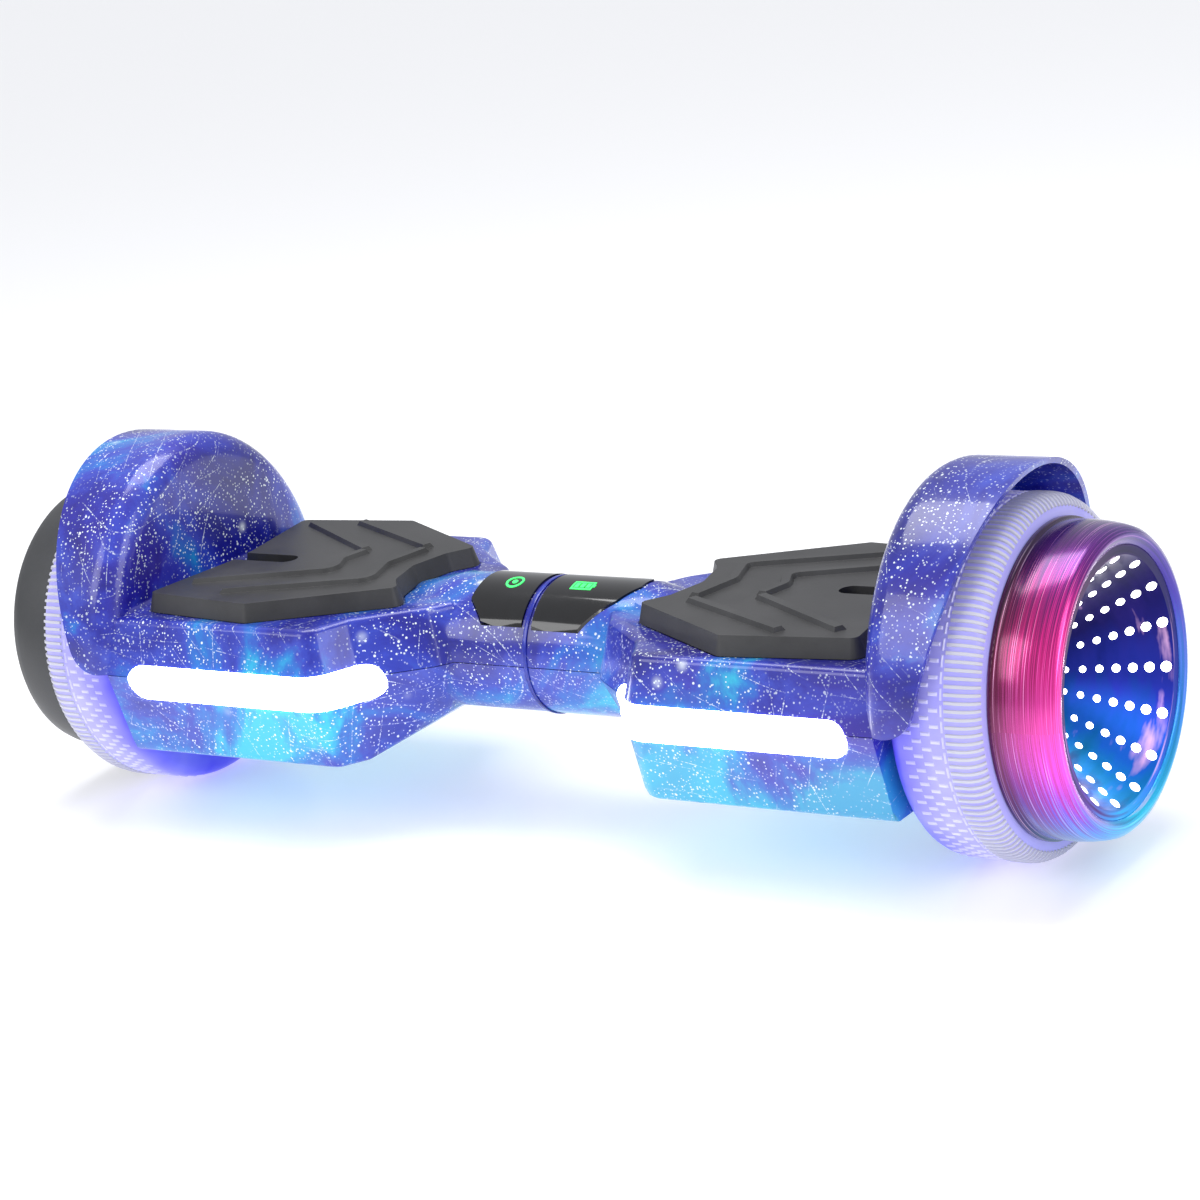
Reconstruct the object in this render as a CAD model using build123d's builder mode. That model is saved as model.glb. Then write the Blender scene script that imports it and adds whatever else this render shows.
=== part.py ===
from build123d import *

import os
from math import radians, tan

# Self balancing board: two mirrored halves on a pivot tube, with a hub-motor wheel at each end.
# Millimetres. X runs along the wheel axle (+X is the right half), -Y is the front with the lights,
# +Z is up. The origin is on the floor, midway between the wheels.

os.makedirs("parts", exist_ok=True)

# ---- Driving dimensions ------------------------------------------------------------------------

TYRE_RADIUS = 84.0
AXLE_Z = TYRE_RADIUS
SEAM_Z = 83.0
SEAM_HALF_GAP = 0.2
DECK_Z = 111.0
UNDERSIDE_Z = 38.0
WALL = 2.6
FLOOR_THICKNESS = 3.0
DECK_THICKNESS = 3.6
DRAFT_DEG = 16.0
DECK_ROUND = 4.0
SEAM_GROWTH = (DECK_Z - SEAM_Z) * tan(radians(DRAFT_DEG))

NECK_RADIUS = 33.7
NECK_GAP = 0.6
NECK_STRAIGHT_END = 55.0
NECK_CREST_END = 88.0
NECK_CREST_RADIUS = 26.5
NECK_UNDER_END = 62.0

BODY_END_X = 220.5
FENDER_WALL_X = 214.0
FENDER_WALL = 2.4
FENDER_HALF_WIDTH = 90.5
FENDER_HEIGHT = 100.0
FENDER_SKIN = 2.8
FENDER_ROUND = 14.0
FENDER_TOP_X = 267.0
FENDER_SKIRT = (241.5, 94.0)
FENDER_SKIRT_ROUND = 16.0

MAT_TOP_Z = 120.4
MAT_TRAVEL = 1.3
MAT_RECESS_DEPTH = MAT_TRAVEL + 0.3
MAT_CLEARANCE = 0.8
MAT_DRAFT_DEG = 15.0
MAT_CORNER = 6.0
MAT_POSTS = ((122, 18), (122, -18))
MAT_POST_RADIUS = 4.5
RIB_HEIGHT = 2.2
RIB_WIDTH = 6.6
RIB_BEND = 6.0
RIB_DRAFT_DEG = 30.0

TYRE_INNER_X = 223.5
TYRE_OUTER_X = 269.5
TYRE_BORE_RADIUS = 66.0
TYRE_SHOULDER = 9.0
RIM_INNER_X = 226.5
RIM_OUTER_X = 267.0
RIM_BORE_RADIUS = 61.0
CAP_OUTER_X = 301.5
COVER_THICKNESS = 4.0
OUTER_COVER_X = 250.5

AXLE_RADIUS = 7.5
AXLE_INNER_X = 150.0
BEARING_RADIUS = 14.0
BEARING_WIDTH = 7.0
RUNNING_FIT = 0.04

PIVOT_RADIUS = 14.0
PIVOT_BORE_RADIUS = 11.0
PIVOT_END_X = 52.0
BUSH_RADIUS = 16.0
BUSH_LENGTH = 14.0
COLLAR_RADIUS = 22.0
COLLAR_END_X = 48.5
PLATE_Z = 68.0
PLATE_THICKNESS = 7.0
PLATE_HALF_WIDTH = 50.0
SADDLE_SIZE = (46.0, 40.0)
SADDLE_X = 183.0
CLAMP_BOLTS = ((-15, -14), (-15, 14), (15, -14), (15, 14))
CABLE_RADIUS = 4.0
LINK_DROP_X = 94.0
LEAD_DROP_X = 136.0
CABLE_END_Z = 60.0

SCREW_POSTS = ((118, 68), (118, -68), (200, 60), (200, -60))
POST_SPLIT_Z = 62.0
CHASSIS_FEET = ((92, 42), (92, -42), (196, 40), (196, -40))
BOARD_Z = 50.0
SPEAKER_X = 180.0
SPEAKER_RADIUS = 18.0
PORT_X = 143.0
BUTTON_X = 172.0
BACK_FITTING_Z = 60.0
BUTTON_TRAVEL = 1.2

LIGHT_SPAN = (68.0, 207.0)
LIGHT_HEIGHTS = (71.0, 89.0)
LIGHT_STAND_OUT = 0.8

# Corners on one side of the axle line, from the neck to past the wheel-side wall.
DECK_OUTLINE = ((46, 24), (54, 36), (84, 60), (94, 80.5), (240, 80.5))
UNDER_OUTLINE = ((66, 20), (72, 42), (80, 62), (90, 77.5), (240, 77.5))
OUTLINE_ROUNDS = (1, 8, 10.5, 10, 1)
# Rise above the underside and inset: the foot of the flank, then the rounded floor edge.
FLANK_LEVEL = ((6, 0),)
FLOOR_EDGE_STEPS = ((2, 1.6), (0.4, 3.9), (0, 6))
MAT_OUTLINE = ((83, 0), (78, 21), (67, 35), (137, 75), (207.5, 67), (199, 9))
RIGHT_PANEL = ((3, 29), (30, 29), (46, 17), (54, 6))
LEFT_PANEL = ((3, 28.5), (27, 28.5), (37, 20))

SPIN_AXIS = Axis((0, 0, AXLE_Z), (1, 0, 0))


# ---- Helpers -----------------------------------------------------------------------------------


def save(piece, name):
    """Label one finished piece and write its STEP file."""
    piece.label = name
    export_step(piece, f"parts/{name}.step")


def mirrored(piece):
    """Return the left-hand twin of a right-hand piece."""
    return mirror(piece, about=Plane.YZ)


def save_pair(piece, name):
    """Write the right-hand piece and its mirror image."""
    save(piece, f"right_{name}")
    save(mirrored(piece), f"left_{name}")


def both_sides(corners):
    """Corners of one side followed by their mirror images, as a closed loop."""
    front = [(x, -y) for x, y in corners]
    back = [(x, y) for x, y in reversed(corners)]
    return front + [point for point in back if point not in front]


def closed_sketch(points):
    """Flat face through a closed loop of points, on the XY plane."""
    with BuildSketch() as flat:
        with BuildLine():
            Polyline(*points, close=True)
        make_face()
    return flat.sketch


def half_outline(corners, growth=0.0):
    """Rounded outline of one half, grown or shrunk by a margin, on the XY plane."""
    with BuildSketch() as flat:
        add(closed_sketch(both_sides(corners)))
        for (x, y), radius in zip(corners, OUTLINE_ROUNDS):
            twins = [v for v in flat.vertices() if abs(v.X - x) < 0.01 and abs(abs(v.Y) - y) < 0.01]
            fillet(twins, radius=radius)
        if growth:
            offset(amount=growth, kind=Kind.INTERSECTION)
    return flat.sketch


def upper_form(inset, top_z, base_z, top_round=0.0):
    """Body above the seam: a drafted block that widens downwards."""
    growth = (DECK_Z - top_z) * tan(radians(DRAFT_DEG)) - inset
    with BuildPart() as form:
        with BuildSketch(Plane.XY.offset(top_z)):
            add(half_outline(DECK_OUTLINE, growth))
        extrude(amount=base_z - top_z, taper=-DRAFT_DEG)
        if top_round:
            rim = form.edges().filter_by_position(Axis.Z, top_z - 0.01, top_z + 0.01)
            rim = [edge for edge in rim if 47 < edge.center().X < 239]
            fillet(rim, radius=top_round)
    return form.part


def lower_form(inset, floor_z, base_rounds):
    """Body below the seam, narrowing to a floor whose edge is stepped round.

    base_rounds lists (rise above the floor, inset) pairs from the widest level down.
    """
    levels = [(SEAM_Z, half_outline(DECK_OUTLINE, SEAM_GROWTH - inset))]
    for rise, step_in in base_rounds:
        levels.append((floor_z + rise, half_outline(UNDER_OUTLINE, -inset - step_in)))
    with BuildPart() as form:
        for (high_z, high), (low_z, low) in zip(levels, levels[1:]):
            with BuildSketch(Plane.XY.offset(high_z)):
                add(high)
            with BuildSketch(Plane.XY.offset(low_z)):
                add(low)
            loft(ruled=True)
    return form.part


def revolved(profile):
    """Turn an (x, radius) profile about the axle line."""
    with BuildPart() as turned:
        with BuildSketch(Plane.XZ.offset(0)) as section:
            with BuildLine():
                Polyline(*[(x, AXLE_Z + radius) for x, radius in profile], close=True)
            make_face()
        revolve(axis=SPIN_AXIS)
    return turned.part


def neck_form(radius, crest_radius, start_x, straight_end, crest_end):
    """Round neck on the pivot axis that tapers into the deck."""
    return revolved(
        ((start_x, 0), (start_x, radius), (straight_end, radius), (crest_end, crest_radius), (crest_end, 0))
    )


def drum_form(inset, wall_x, round_radius, end_x):
    """Elliptical drum around the wheel, rounded on the deck side."""
    with BuildPart() as drum:
        with BuildSketch(Plane.YZ.offset(wall_x)):
            with Locations((0, AXLE_Z)):
                Ellipse(FENDER_HALF_WIDTH - inset, FENDER_HEIGHT - inset)
        extrude(amount=end_x - wall_x)
        if round_radius:
            fillet(drum.edges().sort_by(Axis.X)[0], radius=round_radius)
    return drum.part


def block(x_span, y_span, z_span):
    """Plain box between three pairs of limits."""
    with BuildPart(mode=Mode.PRIVATE) as box:
        centre = [sum(span) / 2 for span in (x_span, y_span, z_span)]
        size = [span[1] - span[0] for span in (x_span, y_span, z_span)]
        with Locations(tuple(centre)):
            Box(*size)
    return box.part


def upright(x, y, radius, low_z, high_z):
    """Vertical cylinder between two heights."""
    with BuildPart(mode=Mode.PRIVATE) as post:
        with Locations((x, y, (low_z + high_z) / 2)):
            Cylinder(radius, high_z - low_z)
    return post.part


def along_x(y, z, radius, low_x, high_x):
    """Cylinder along X between two stations."""
    with BuildPart(mode=Mode.PRIVATE) as rod:
        with BuildSketch(Plane.YZ.offset(low_x)):
            with Locations((y, z)):
                Circle(radius)
        extrude(amount=high_x - low_x)
    return rod.part


def light_window(margin):
    """Rounded slot in the front through which the light strip shows."""
    low_x, high_x = LIGHT_SPAN
    low_z, high_z = LIGHT_HEIGHTS
    with BuildPart(mode=Mode.PRIVATE) as window:
        with BuildSketch(Plane.XZ.offset(40)):
            with Locations(((low_x + high_x) / 2, (low_z + high_z) / 2)):
                SlotOverall(high_x - low_x + 2 * margin, high_z - low_z + 2 * margin)
        extrude(amount=70)
    return window.part


def front_band(outset, inset, margin):
    """Slice of the body's skin inside the light window, between two offsets from the surface."""
    band_top_z = LIGHT_HEIGHTS[1] + 5
    with BuildPart(mode=Mode.PRIVATE) as band:
        add(upper_form(-outset, band_top_z, SEAM_Z))
        add(lower_form(-outset, UNDERSIDE_Z, FLANK_LEVEL))
        add(upper_form(inset, band_top_z + 1, SEAM_Z), mode=Mode.SUBTRACT)
        add(lower_form(inset, UNDERSIDE_Z, FLANK_LEVEL), mode=Mode.SUBTRACT)
        add(light_window(margin), mode=Mode.INTERSECT)
    return band.part


def panel_prism(corners, margin):
    """Upright prism through the top of the neck with the display panel's outline."""
    with BuildPart(mode=Mode.PRIVATE) as prism:
        with BuildSketch(Plane.XY.offset(AXLE_Z + 4)):
            add(closed_sketch(both_sides(corners)))
            if margin:
                offset(amount=margin, kind=Kind.INTERSECTION)
        extrude(amount=50)
    return prism.part


def mat_sketch(growth):
    """Outline of the foot mat, on the XY plane."""
    with BuildSketch() as flat:
        add(closed_sketch(both_sides(MAT_OUTLINE)))
        fillet(flat.vertices(), radius=MAT_CORNER)
        if growth:
            offset(amount=growth, kind=Kind.INTERSECTION)
    return flat.sketch


# ---- Casings -----------------------------------------------------------------------------------

with BuildPart() as fender_trim:
    skirt_x, skirt_z = FENDER_SKIRT
    with BuildSketch(Plane.XZ) as side_view:
        with BuildLine():
            Polyline(
                (skirt_x - 26, SEAM_Z - 20),
                (skirt_x - 26, SEAM_Z + SEAM_HALF_GAP),
                (skirt_x - 3, SEAM_Z + SEAM_HALF_GAP),
                (FENDER_TOP_X, AXLE_Z + FENDER_HEIGHT + 2),
                (FENDER_TOP_X + 40, AXLE_Z + FENDER_HEIGHT + 2),
                (FENDER_TOP_X + 40, SEAM_Z - 20),
                close=True,
            )
        make_face()
        heel = side_view.vertices().filter_by_position(Axis.X, skirt_x - 4, skirt_x - 2)
        fillet(heel, radius=FENDER_SKIRT_ROUND)
    extrude(amount=120, both=True)

with BuildPart() as fender:
    add(drum_form(0, FENDER_WALL_X, FENDER_ROUND, FENDER_TOP_X + 10))
    split(bisect_by=Plane.XY.offset(SEAM_Z + SEAM_HALF_GAP), keep=Keep.TOP)
    add(fender_trim.part, mode=Mode.SUBTRACT)

with BuildPart() as upper_well:
    add(drum_form(FENDER_SKIN, FENDER_WALL_X + FENDER_WALL, FENDER_ROUND - FENDER_WALL, 300))
    split(bisect_by=Plane.XY.offset(DECK_Z), keep=Keep.TOP)

with BuildPart() as lower_well:
    add(drum_form(FENDER_SKIN, BODY_END_X, 0, 300))
    split(bisect_by=Plane.XY.offset(DECK_Z + 1), keep=Keep.BOTTOM)

with BuildPart() as top_hollow:
    add(upper_form(WALL, DECK_Z - DECK_THICKNESS, SEAM_Z - 2))
    split(bisect_by=Plane.YZ.offset(BODY_END_X - WALL), keep=Keep.BOTTOM)
    add(neck_form(NECK_RADIUS - WALL, NECK_CREST_RADIUS - WALL, -1, NECK_STRAIGHT_END, NECK_CREST_END - WALL))

window_cut = front_band(LIGHT_STAND_OUT + 1, WALL + 1.2, 0.25)

with BuildPart() as neck_top:
    add(neck_form(NECK_RADIUS, NECK_CREST_RADIUS, NECK_GAP, NECK_STRAIGHT_END, NECK_CREST_END))
    split(bisect_by=Plane.XY.offset(SEAM_Z + SEAM_HALF_GAP), keep=Keep.TOP)

with BuildPart() as top_shell:
    add(upper_form(0, DECK_Z, SEAM_Z + SEAM_HALF_GAP, DECK_ROUND))
    split(bisect_by=Plane.YZ.offset(BODY_END_X), keep=Keep.BOTTOM)
    add(neck_top.part)
    add(fender.part)
    add(top_hollow.part, mode=Mode.SUBTRACT)
    add(upper_well.part, mode=Mode.SUBTRACT)
    add(lower_well.part, mode=Mode.SUBTRACT)
    for x, y in SCREW_POSTS:
        add(upright(x, y, 5.5, POST_SPLIT_Z, DECK_Z - DECK_THICKNESS))
        add(upright(x, y, 2.0, POST_SPLIT_Z - 1, POST_SPLIT_Z + 14), mode=Mode.SUBTRACT)
    with BuildSketch(Plane.XY.offset(DECK_Z - MAT_RECESS_DEPTH)):
        add(mat_sketch(MAT_CLEARANCE))
    extrude(amount=NECK_RADIUS, mode=Mode.SUBTRACT)
    for x, y in MAT_POSTS:
        add(upright(x, y, MAT_POST_RADIUS + 1.5, DECK_Z - 10, DECK_Z), mode=Mode.SUBTRACT)
    add(along_x(0, AXLE_Z, AXLE_RADIUS + 1.5, BODY_END_X - 6, BODY_END_X + 1), mode=Mode.SUBTRACT)
    add(window_cut, mode=Mode.SUBTRACT)

panels = {"right": RIGHT_PANEL, "left": LEFT_PANEL}
for half, corners in panels.items():
    with BuildPart() as casing:
        add(top_shell.part)
        add(panel_prism(corners, 0.25), mode=Mode.SUBTRACT)
    with BuildPart() as panel:
        add(along_x(0, AXLE_Z, NECK_RADIUS + 0.9, 2, NECK_STRAIGHT_END + 5))
        add(along_x(0, AXLE_Z, NECK_RADIUS - WALL, 1, NECK_STRAIGHT_END + 6), mode=Mode.SUBTRACT)
        add(panel_prism(corners, 0), mode=Mode.INTERSECT)
    placed = [item.part if half == "right" else mirrored(item.part) for item in (casing, panel)]
    save(placed[0], f"{half}_top_shell")
    save(placed[1], f"{half}_display_panel")

with BuildPart() as inner_slope:
    with BuildSketch(Plane.XZ):
        with BuildLine():
            Polyline((0, 100), (36, 100), (50, 57), (84, UNDERSIDE_Z), (84, 0), (0, 0), close=True)
        make_face()
    extrude(amount=120, both=True)

with BuildPart() as bottom_hollow:
    add(lower_form(WALL, UNDERSIDE_Z + FLOOR_THICKNESS, ((0, 0),)))
    split(bisect_by=Plane.YZ.offset(BODY_END_X - WALL), keep=Keep.BOTTOM)
    add(inner_slope.part.moved(Location((WALL, 0, WALL))), mode=Mode.SUBTRACT)
    add(neck_form(NECK_RADIUS - WALL, NECK_RADIUS - WALL, -1, NECK_STRAIGHT_END, NECK_UNDER_END + 4))

with BuildPart() as bottom_shell:
    add(lower_form(0, UNDERSIDE_Z, FLANK_LEVEL + FLOOR_EDGE_STEPS))
    split(bisect_by=Plane.YZ.offset(BODY_END_X), keep=Keep.BOTTOM)
    add(inner_slope.part, mode=Mode.SUBTRACT)
    add(neck_form(NECK_RADIUS, NECK_RADIUS, NECK_GAP, NECK_STRAIGHT_END, NECK_UNDER_END))
    split(bisect_by=Plane.XY.offset(SEAM_Z - SEAM_HALF_GAP), keep=Keep.BOTTOM)
    add(bottom_hollow.part, mode=Mode.SUBTRACT)
    for x, y in SCREW_POSTS:
        add(upright(x, y, 7, UNDERSIDE_Z + 1, POST_SPLIT_Z - 0.2))
        add(upright(x, y, 4.4, UNDERSIDE_Z - 1, UNDERSIDE_Z + 12), mode=Mode.SUBTRACT)
        add(upright(x, y, 2.2, UNDERSIDE_Z, POST_SPLIT_Z), mode=Mode.SUBTRACT)
    for x, y in CHASSIS_FEET:
        add(upright(x, y, 6, UNDERSIDE_Z + 1, PLATE_Z))
    add(along_x(0, AXLE_Z, AXLE_RADIUS + 1.5, BODY_END_X - 6, BODY_END_X + 1), mode=Mode.SUBTRACT)
    add(window_cut, mode=Mode.SUBTRACT)

save(mirrored(bottom_shell.part), "left_bottom_shell")

back_face_y = 79.0
with BuildPart() as right_bottom:
    add(bottom_shell.part)
    for x, radius in ((PORT_X, 12), (BUTTON_X, 10)):
        with BuildSketch(Plane.XZ.offset(-back_face_y)):
            with Locations((x, BACK_FITTING_Z)):
                Circle(radius + 2)
        extrude(amount=WALL)
        with BuildSketch(Plane.XZ.offset(-back_face_y)):
            with Locations((x, BACK_FITTING_Z)):
                Circle(radius)
        extrude(amount=-12, mode=Mode.SUBTRACT)
        with BuildSketch(Plane.XZ.offset(-back_face_y + WALL + 1)):
            with Locations((x, BACK_FITTING_Z)):
                Circle(radius - 3.5)
        extrude(amount=-WALL - 2, mode=Mode.SUBTRACT)
    with BuildSketch(Plane.XY.offset(UNDERSIDE_Z - 1)):
        with Locations((SPEAKER_X, 0)):
            with HexLocations(1.9, 9, 9):
                Circle(1.1)
            Circle(SPEAKER_RADIUS - 3, mode=Mode.INTERSECT)
    extrude(amount=FLOOR_THICKNESS + 2, mode=Mode.SUBTRACT)
save(right_bottom.part, "right_bottom_shell")

# ---- Foot mats ---------------------------------------------------------------------------------

RIBS = (
    ((164, 57), (93, 27), (101, 3), (95, -24)),
    ((96, -28), (164, -63)),
    ((192, 45), (124, 15), (131, 0), (127, -16)),
    ((128, -18), (192, -57)),
)

with BuildPart() as mat:
    with BuildSketch(Plane.XY.offset(DECK_Z)):
        add(mat_sketch(0))
    extrude(amount=MAT_TOP_Z - DECK_Z, taper=MAT_DRAFT_DEG)
    for route in RIBS:
        with BuildSketch(Plane.XY.offset(MAT_TOP_Z)):
            with BuildLine() as spine:
                if len(route) > 2:
                    FilletPolyline(*route, radius=RIB_BEND)
                else:
                    Line(*route)
            trace(line_width=RIB_WIDTH)
        extrude(amount=RIB_HEIGHT, taper=RIB_DRAFT_DEG)
    with BuildSketch(Plane.XY.offset(DECK_Z + 3.4)):
        with Locations((187, 0.5)):
            SlotOverall(54, 11.5)
    extrude(amount=12, mode=Mode.SUBTRACT)
    for x, y in MAT_POSTS:
        add(upright(x, y, MAT_POST_RADIUS, DECK_Z - 8, DECK_Z))
save(mat.part, "right_foot_mat")
save(mat.part.rotate(Axis.Z, 180), "left_foot_mat")

# ---- Lights and displays -----------------------------------------------------------------------

save_pair(front_band(LIGHT_STAND_OUT, WALL + 0.8, 0), "light_lens")

with BuildPart() as light_board:
    add(block((113, 200), (-81.2, -79.8), (75, 86)))
    for x in range(118, 200, 12):
        add(block((x - 2.5, x + 2.5), (-82.1, -81.2), (78, 82)))
save_pair(light_board.part, "light_board")

with BuildPart() as display_board:
    add(block((7, 42), (-13, 13), (108, 109.4)))
    for x in (14, 22, 30):
        add(block((x - 1.5, x + 1.5), (-1.5, 1.5), (109.4, 110.6)))
save_pair(display_board.part, "display_board")

# ---- Frame, pivot and axle ---------------------------------------------------------------------


def chassis_half(bore_radius, collar_span):
    """Cast half frame: pivot collar, webs, plate, saddle for the axle and posts for the sensor board."""
    low_x, high_x = collar_span
    saddle_low = SADDLE_X - SADDLE_SIZE[0] / 2
    saddle_high = SADDLE_X + SADDLE_SIZE[0] / 2
    half_saddle = SADDLE_SIZE[1] / 2
    plate_top = PLATE_Z + PLATE_THICKNESS
    with BuildPart() as frame:
        add(block((78, 208), (-PLATE_HALF_WIDTH, PLATE_HALF_WIDTH), (PLATE_Z, plate_top)))
        fillet(frame.edges().filter_by(Axis.Z), radius=8)
        add(block((38, 80), (-21, 21), (PLATE_Z, plate_top)))
        for y in (-48, 48):
            add(block((100, 188), (y - 2, y + 2), (PLATE_Z - 14, PLATE_Z)))
        add(block((saddle_low, saddle_high), (-half_saddle, half_saddle), (plate_top, AXLE_Z)))
        for y in (-19, 19):
            add(block((40, saddle_low), (y - 2, y + 2), (plate_top, AXLE_Z - 1)))
        add(along_x(0, AXLE_Z, COLLAR_RADIUS, low_x, high_x))
        add(along_x(0, AXLE_Z, bore_radius, low_x - 1, high_x + 0.1), mode=Mode.SUBTRACT)
        add(block((high_x, 78), (-17, 17), (PLATE_Z - 1, AXLE_Z + 30)), mode=Mode.SUBTRACT)
        add(along_x(0, AXLE_Z, AXLE_RADIUS, saddle_low - 1, saddle_high + 1), mode=Mode.SUBTRACT)
        for x in (LINK_DROP_X, LEAD_DROP_X):
            add(upright(x, 0, 9, PLATE_Z - 1, AXLE_Z), mode=Mode.SUBTRACT)
        for x in (100, 152):
            for y in (-25, 25):
                add(upright(x, y, 3.5, plate_top - 1, 97))
        for dx, y in CLAMP_BOLTS:
            add(upright(SADDLE_X + dx, y, 3.1, PLATE_Z + 2, AXLE_Z + 1), mode=Mode.SUBTRACT)
    return frame.part


save(chassis_half(BUSH_RADIUS, (3.0, COLLAR_END_X)), "right_chassis")
save(mirrored(chassis_half(PIVOT_RADIUS, (1.0, COLLAR_END_X))), "left_chassis")

with BuildPart() as axle_clamp:
    clamp_top_z = 96.0
    low_x = SADDLE_X - SADDLE_SIZE[0] / 2
    add(block((low_x, low_x + SADDLE_SIZE[0]), (-20, 20), (AXLE_Z + 0.6, clamp_top_z)))
    fillet(axle_clamp.edges().filter_by(Axis.X).group_by(Axis.Z)[-1], radius=3)
    add(along_x(0, AXLE_Z, AXLE_RADIUS, low_x - 1, low_x + 60), mode=Mode.SUBTRACT)
    for dx, y in CLAMP_BOLTS:
        add(upright(SADDLE_X + dx, y, 3.3, AXLE_Z, clamp_top_z + 1), mode=Mode.SUBTRACT)
save_pair(axle_clamp.part, "axle_clamp")

with BuildPart() as clamp_screws:
    for dx, y in CLAMP_BOLTS:
        add(upright(SADDLE_X + dx, y, 3.0, PLATE_Z + 3, clamp_top_z))
        add(upright(SADDLE_X + dx, y, 4.9, clamp_top_z, clamp_top_z + 5))
        with BuildSketch(Plane.XY.offset(clamp_top_z + 2.5)):
            with Locations((SADDLE_X + dx, y)):
                RegularPolygon(2.6, 6)
        extrude(amount=3, mode=Mode.SUBTRACT)
save_pair(clamp_screws.part, "clamp_screws")

with BuildPart() as shell_screws:
    head_z = UNDERSIDE_Z + 12
    for x, y in SCREW_POSTS:
        add(upright(x, y, 1.9, head_z, POST_SPLIT_Z + 12))
        add(upright(x, y, 3.8, head_z - 3, head_z))
        with BuildSketch(Plane.XY.offset(head_z - 3)):
            with Locations((x, y)):
                Rectangle(4, 1)
                Rectangle(1, 4)
        extrude(amount=1.6, mode=Mode.SUBTRACT)
save_pair(shell_screws.part, "shell_screws")

with BuildPart() as axle:
    axle_end_x = OUTER_COVER_X + 1.5
    add(along_x(0, AXLE_Z, AXLE_RADIUS, AXLE_INNER_X, axle_end_x))
    chamfer(axle.edges().filter_by(GeomType.CIRCLE), length=0.8)
    add(along_x(0, AXLE_Z, CABLE_RADIUS - 1, AXLE_INNER_X - 1, AXLE_INNER_X + 12), mode=Mode.SUBTRACT)
save_pair(axle.part, "axle")

groove_x = PIVOT_END_X - 3
groove_radius = PIVOT_RADIUS - 0.8
ring_thickness = 1.5
with BuildPart() as groove:
    add(along_x(0, AXLE_Z, PIVOT_RADIUS + 1, groove_x, groove_x + ring_thickness))
    add(along_x(0, AXLE_Z, groove_radius, groove_x - 1, groove_x + 3), mode=Mode.SUBTRACT)

with BuildPart() as pivot_tube:
    add(along_x(0, AXLE_Z, PIVOT_RADIUS, -COLLAR_END_X, PIVOT_END_X))
    add(along_x(0, AXLE_Z, PIVOT_BORE_RADIUS, -COLLAR_END_X - 1, PIVOT_END_X + 1), mode=Mode.SUBTRACT)
    add(groove.part, mode=Mode.SUBTRACT)
save(pivot_tube.part, "pivot_tube")

with BuildPart() as retaining_ring:
    add(along_x(0, AXLE_Z, PIVOT_RADIUS + 2.6, groove_x, groove_x + ring_thickness))
    add(along_x(0, AXLE_Z, groove_radius, groove_x - 1, groove_x + 3), mode=Mode.SUBTRACT)
    add(block((groove_x - 1, groove_x + 3), (-3, 3), (AXLE_Z + 8, AXLE_Z + 20)), mode=Mode.SUBTRACT)
save(retaining_ring.part, "pivot_retaining_ring")

with BuildPart() as pivot_bushes:
    add(along_x(0, AXLE_Z, BUSH_RADIUS, 3, 3 + BUSH_LENGTH))
    add(along_x(0, AXLE_Z, BUSH_RADIUS + 4, -0.6, 3))
    add(along_x(0, AXLE_Z, BUSH_RADIUS, COLLAR_END_X - BUSH_LENGTH, COLLAR_END_X))
    add(along_x(0, AXLE_Z, PIVOT_RADIUS + RUNNING_FIT, -2, COLLAR_END_X + 1), mode=Mode.SUBTRACT)
save(pivot_bushes.part, "pivot_bushes")

# ---- Electrics ---------------------------------------------------------------------------------


def cable(points, bend_radius, radius):
    """Round cable along straight runs joined by arcs."""
    with BuildPart() as lead:
        with BuildLine() as route:
            if len(points) > 2:
                FilletPolyline(*points, radius=bend_radius)
            else:
                Line(*points)
        with BuildSketch(Plane(route.line @ 0, z_dir=route.line % 0)):
            Circle(radius)
        sweep(path=route.line)
    return lead.part


link_start_x = -65.6
link_points = ((link_start_x, 0, AXLE_Z), (LINK_DROP_X, 0, AXLE_Z), (LINK_DROP_X, 0, CABLE_END_Z))
save(cable(link_points, 10, CABLE_RADIUS), "link_cable")
right_lead = ((AXLE_INNER_X, 0, AXLE_Z), (LEAD_DROP_X, 0, AXLE_Z), (LEAD_DROP_X, 0, CABLE_END_Z))
save(cable(right_lead, 9, CABLE_RADIUS - 1), "right_motor_lead")
left_lead = ((-AXLE_INNER_X, 0, AXLE_Z), (-66, 0, AXLE_Z))
save(cable(left_lead, 0, CABLE_RADIUS - 1), "left_motor_lead")

with BuildPart() as gyro_board:
    add(block((94, 157), (-29, 29), (97, 98.6)))
    for x, y in MAT_POSTS:
        for side in (-1, 1):
            rail_y = y + side * 3.6
            add(block((x - 5, x + 5), (rail_y - 1.2, rail_y + 1.2), (98.6, 101)))
    add(block((140, 148), (-8, 8), (98.6, 101)))
save_pair(gyro_board.part, "gyro_board")

inner_floor_z = UNDERSIDE_Z + FLOOR_THICKNESS
with BuildPart() as battery_pack:
    add(block((-184, -106), (-34, 34), (inner_floor_z, 67)))
    fillet(battery_pack.edges().filter_by(Axis.Y), radius=9)
    fillet(battery_pack.edges().group_by(Axis.Y)[0] + battery_pack.edges().group_by(Axis.Y)[-1], radius=2)
save(battery_pack.part, "battery_pack")

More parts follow.
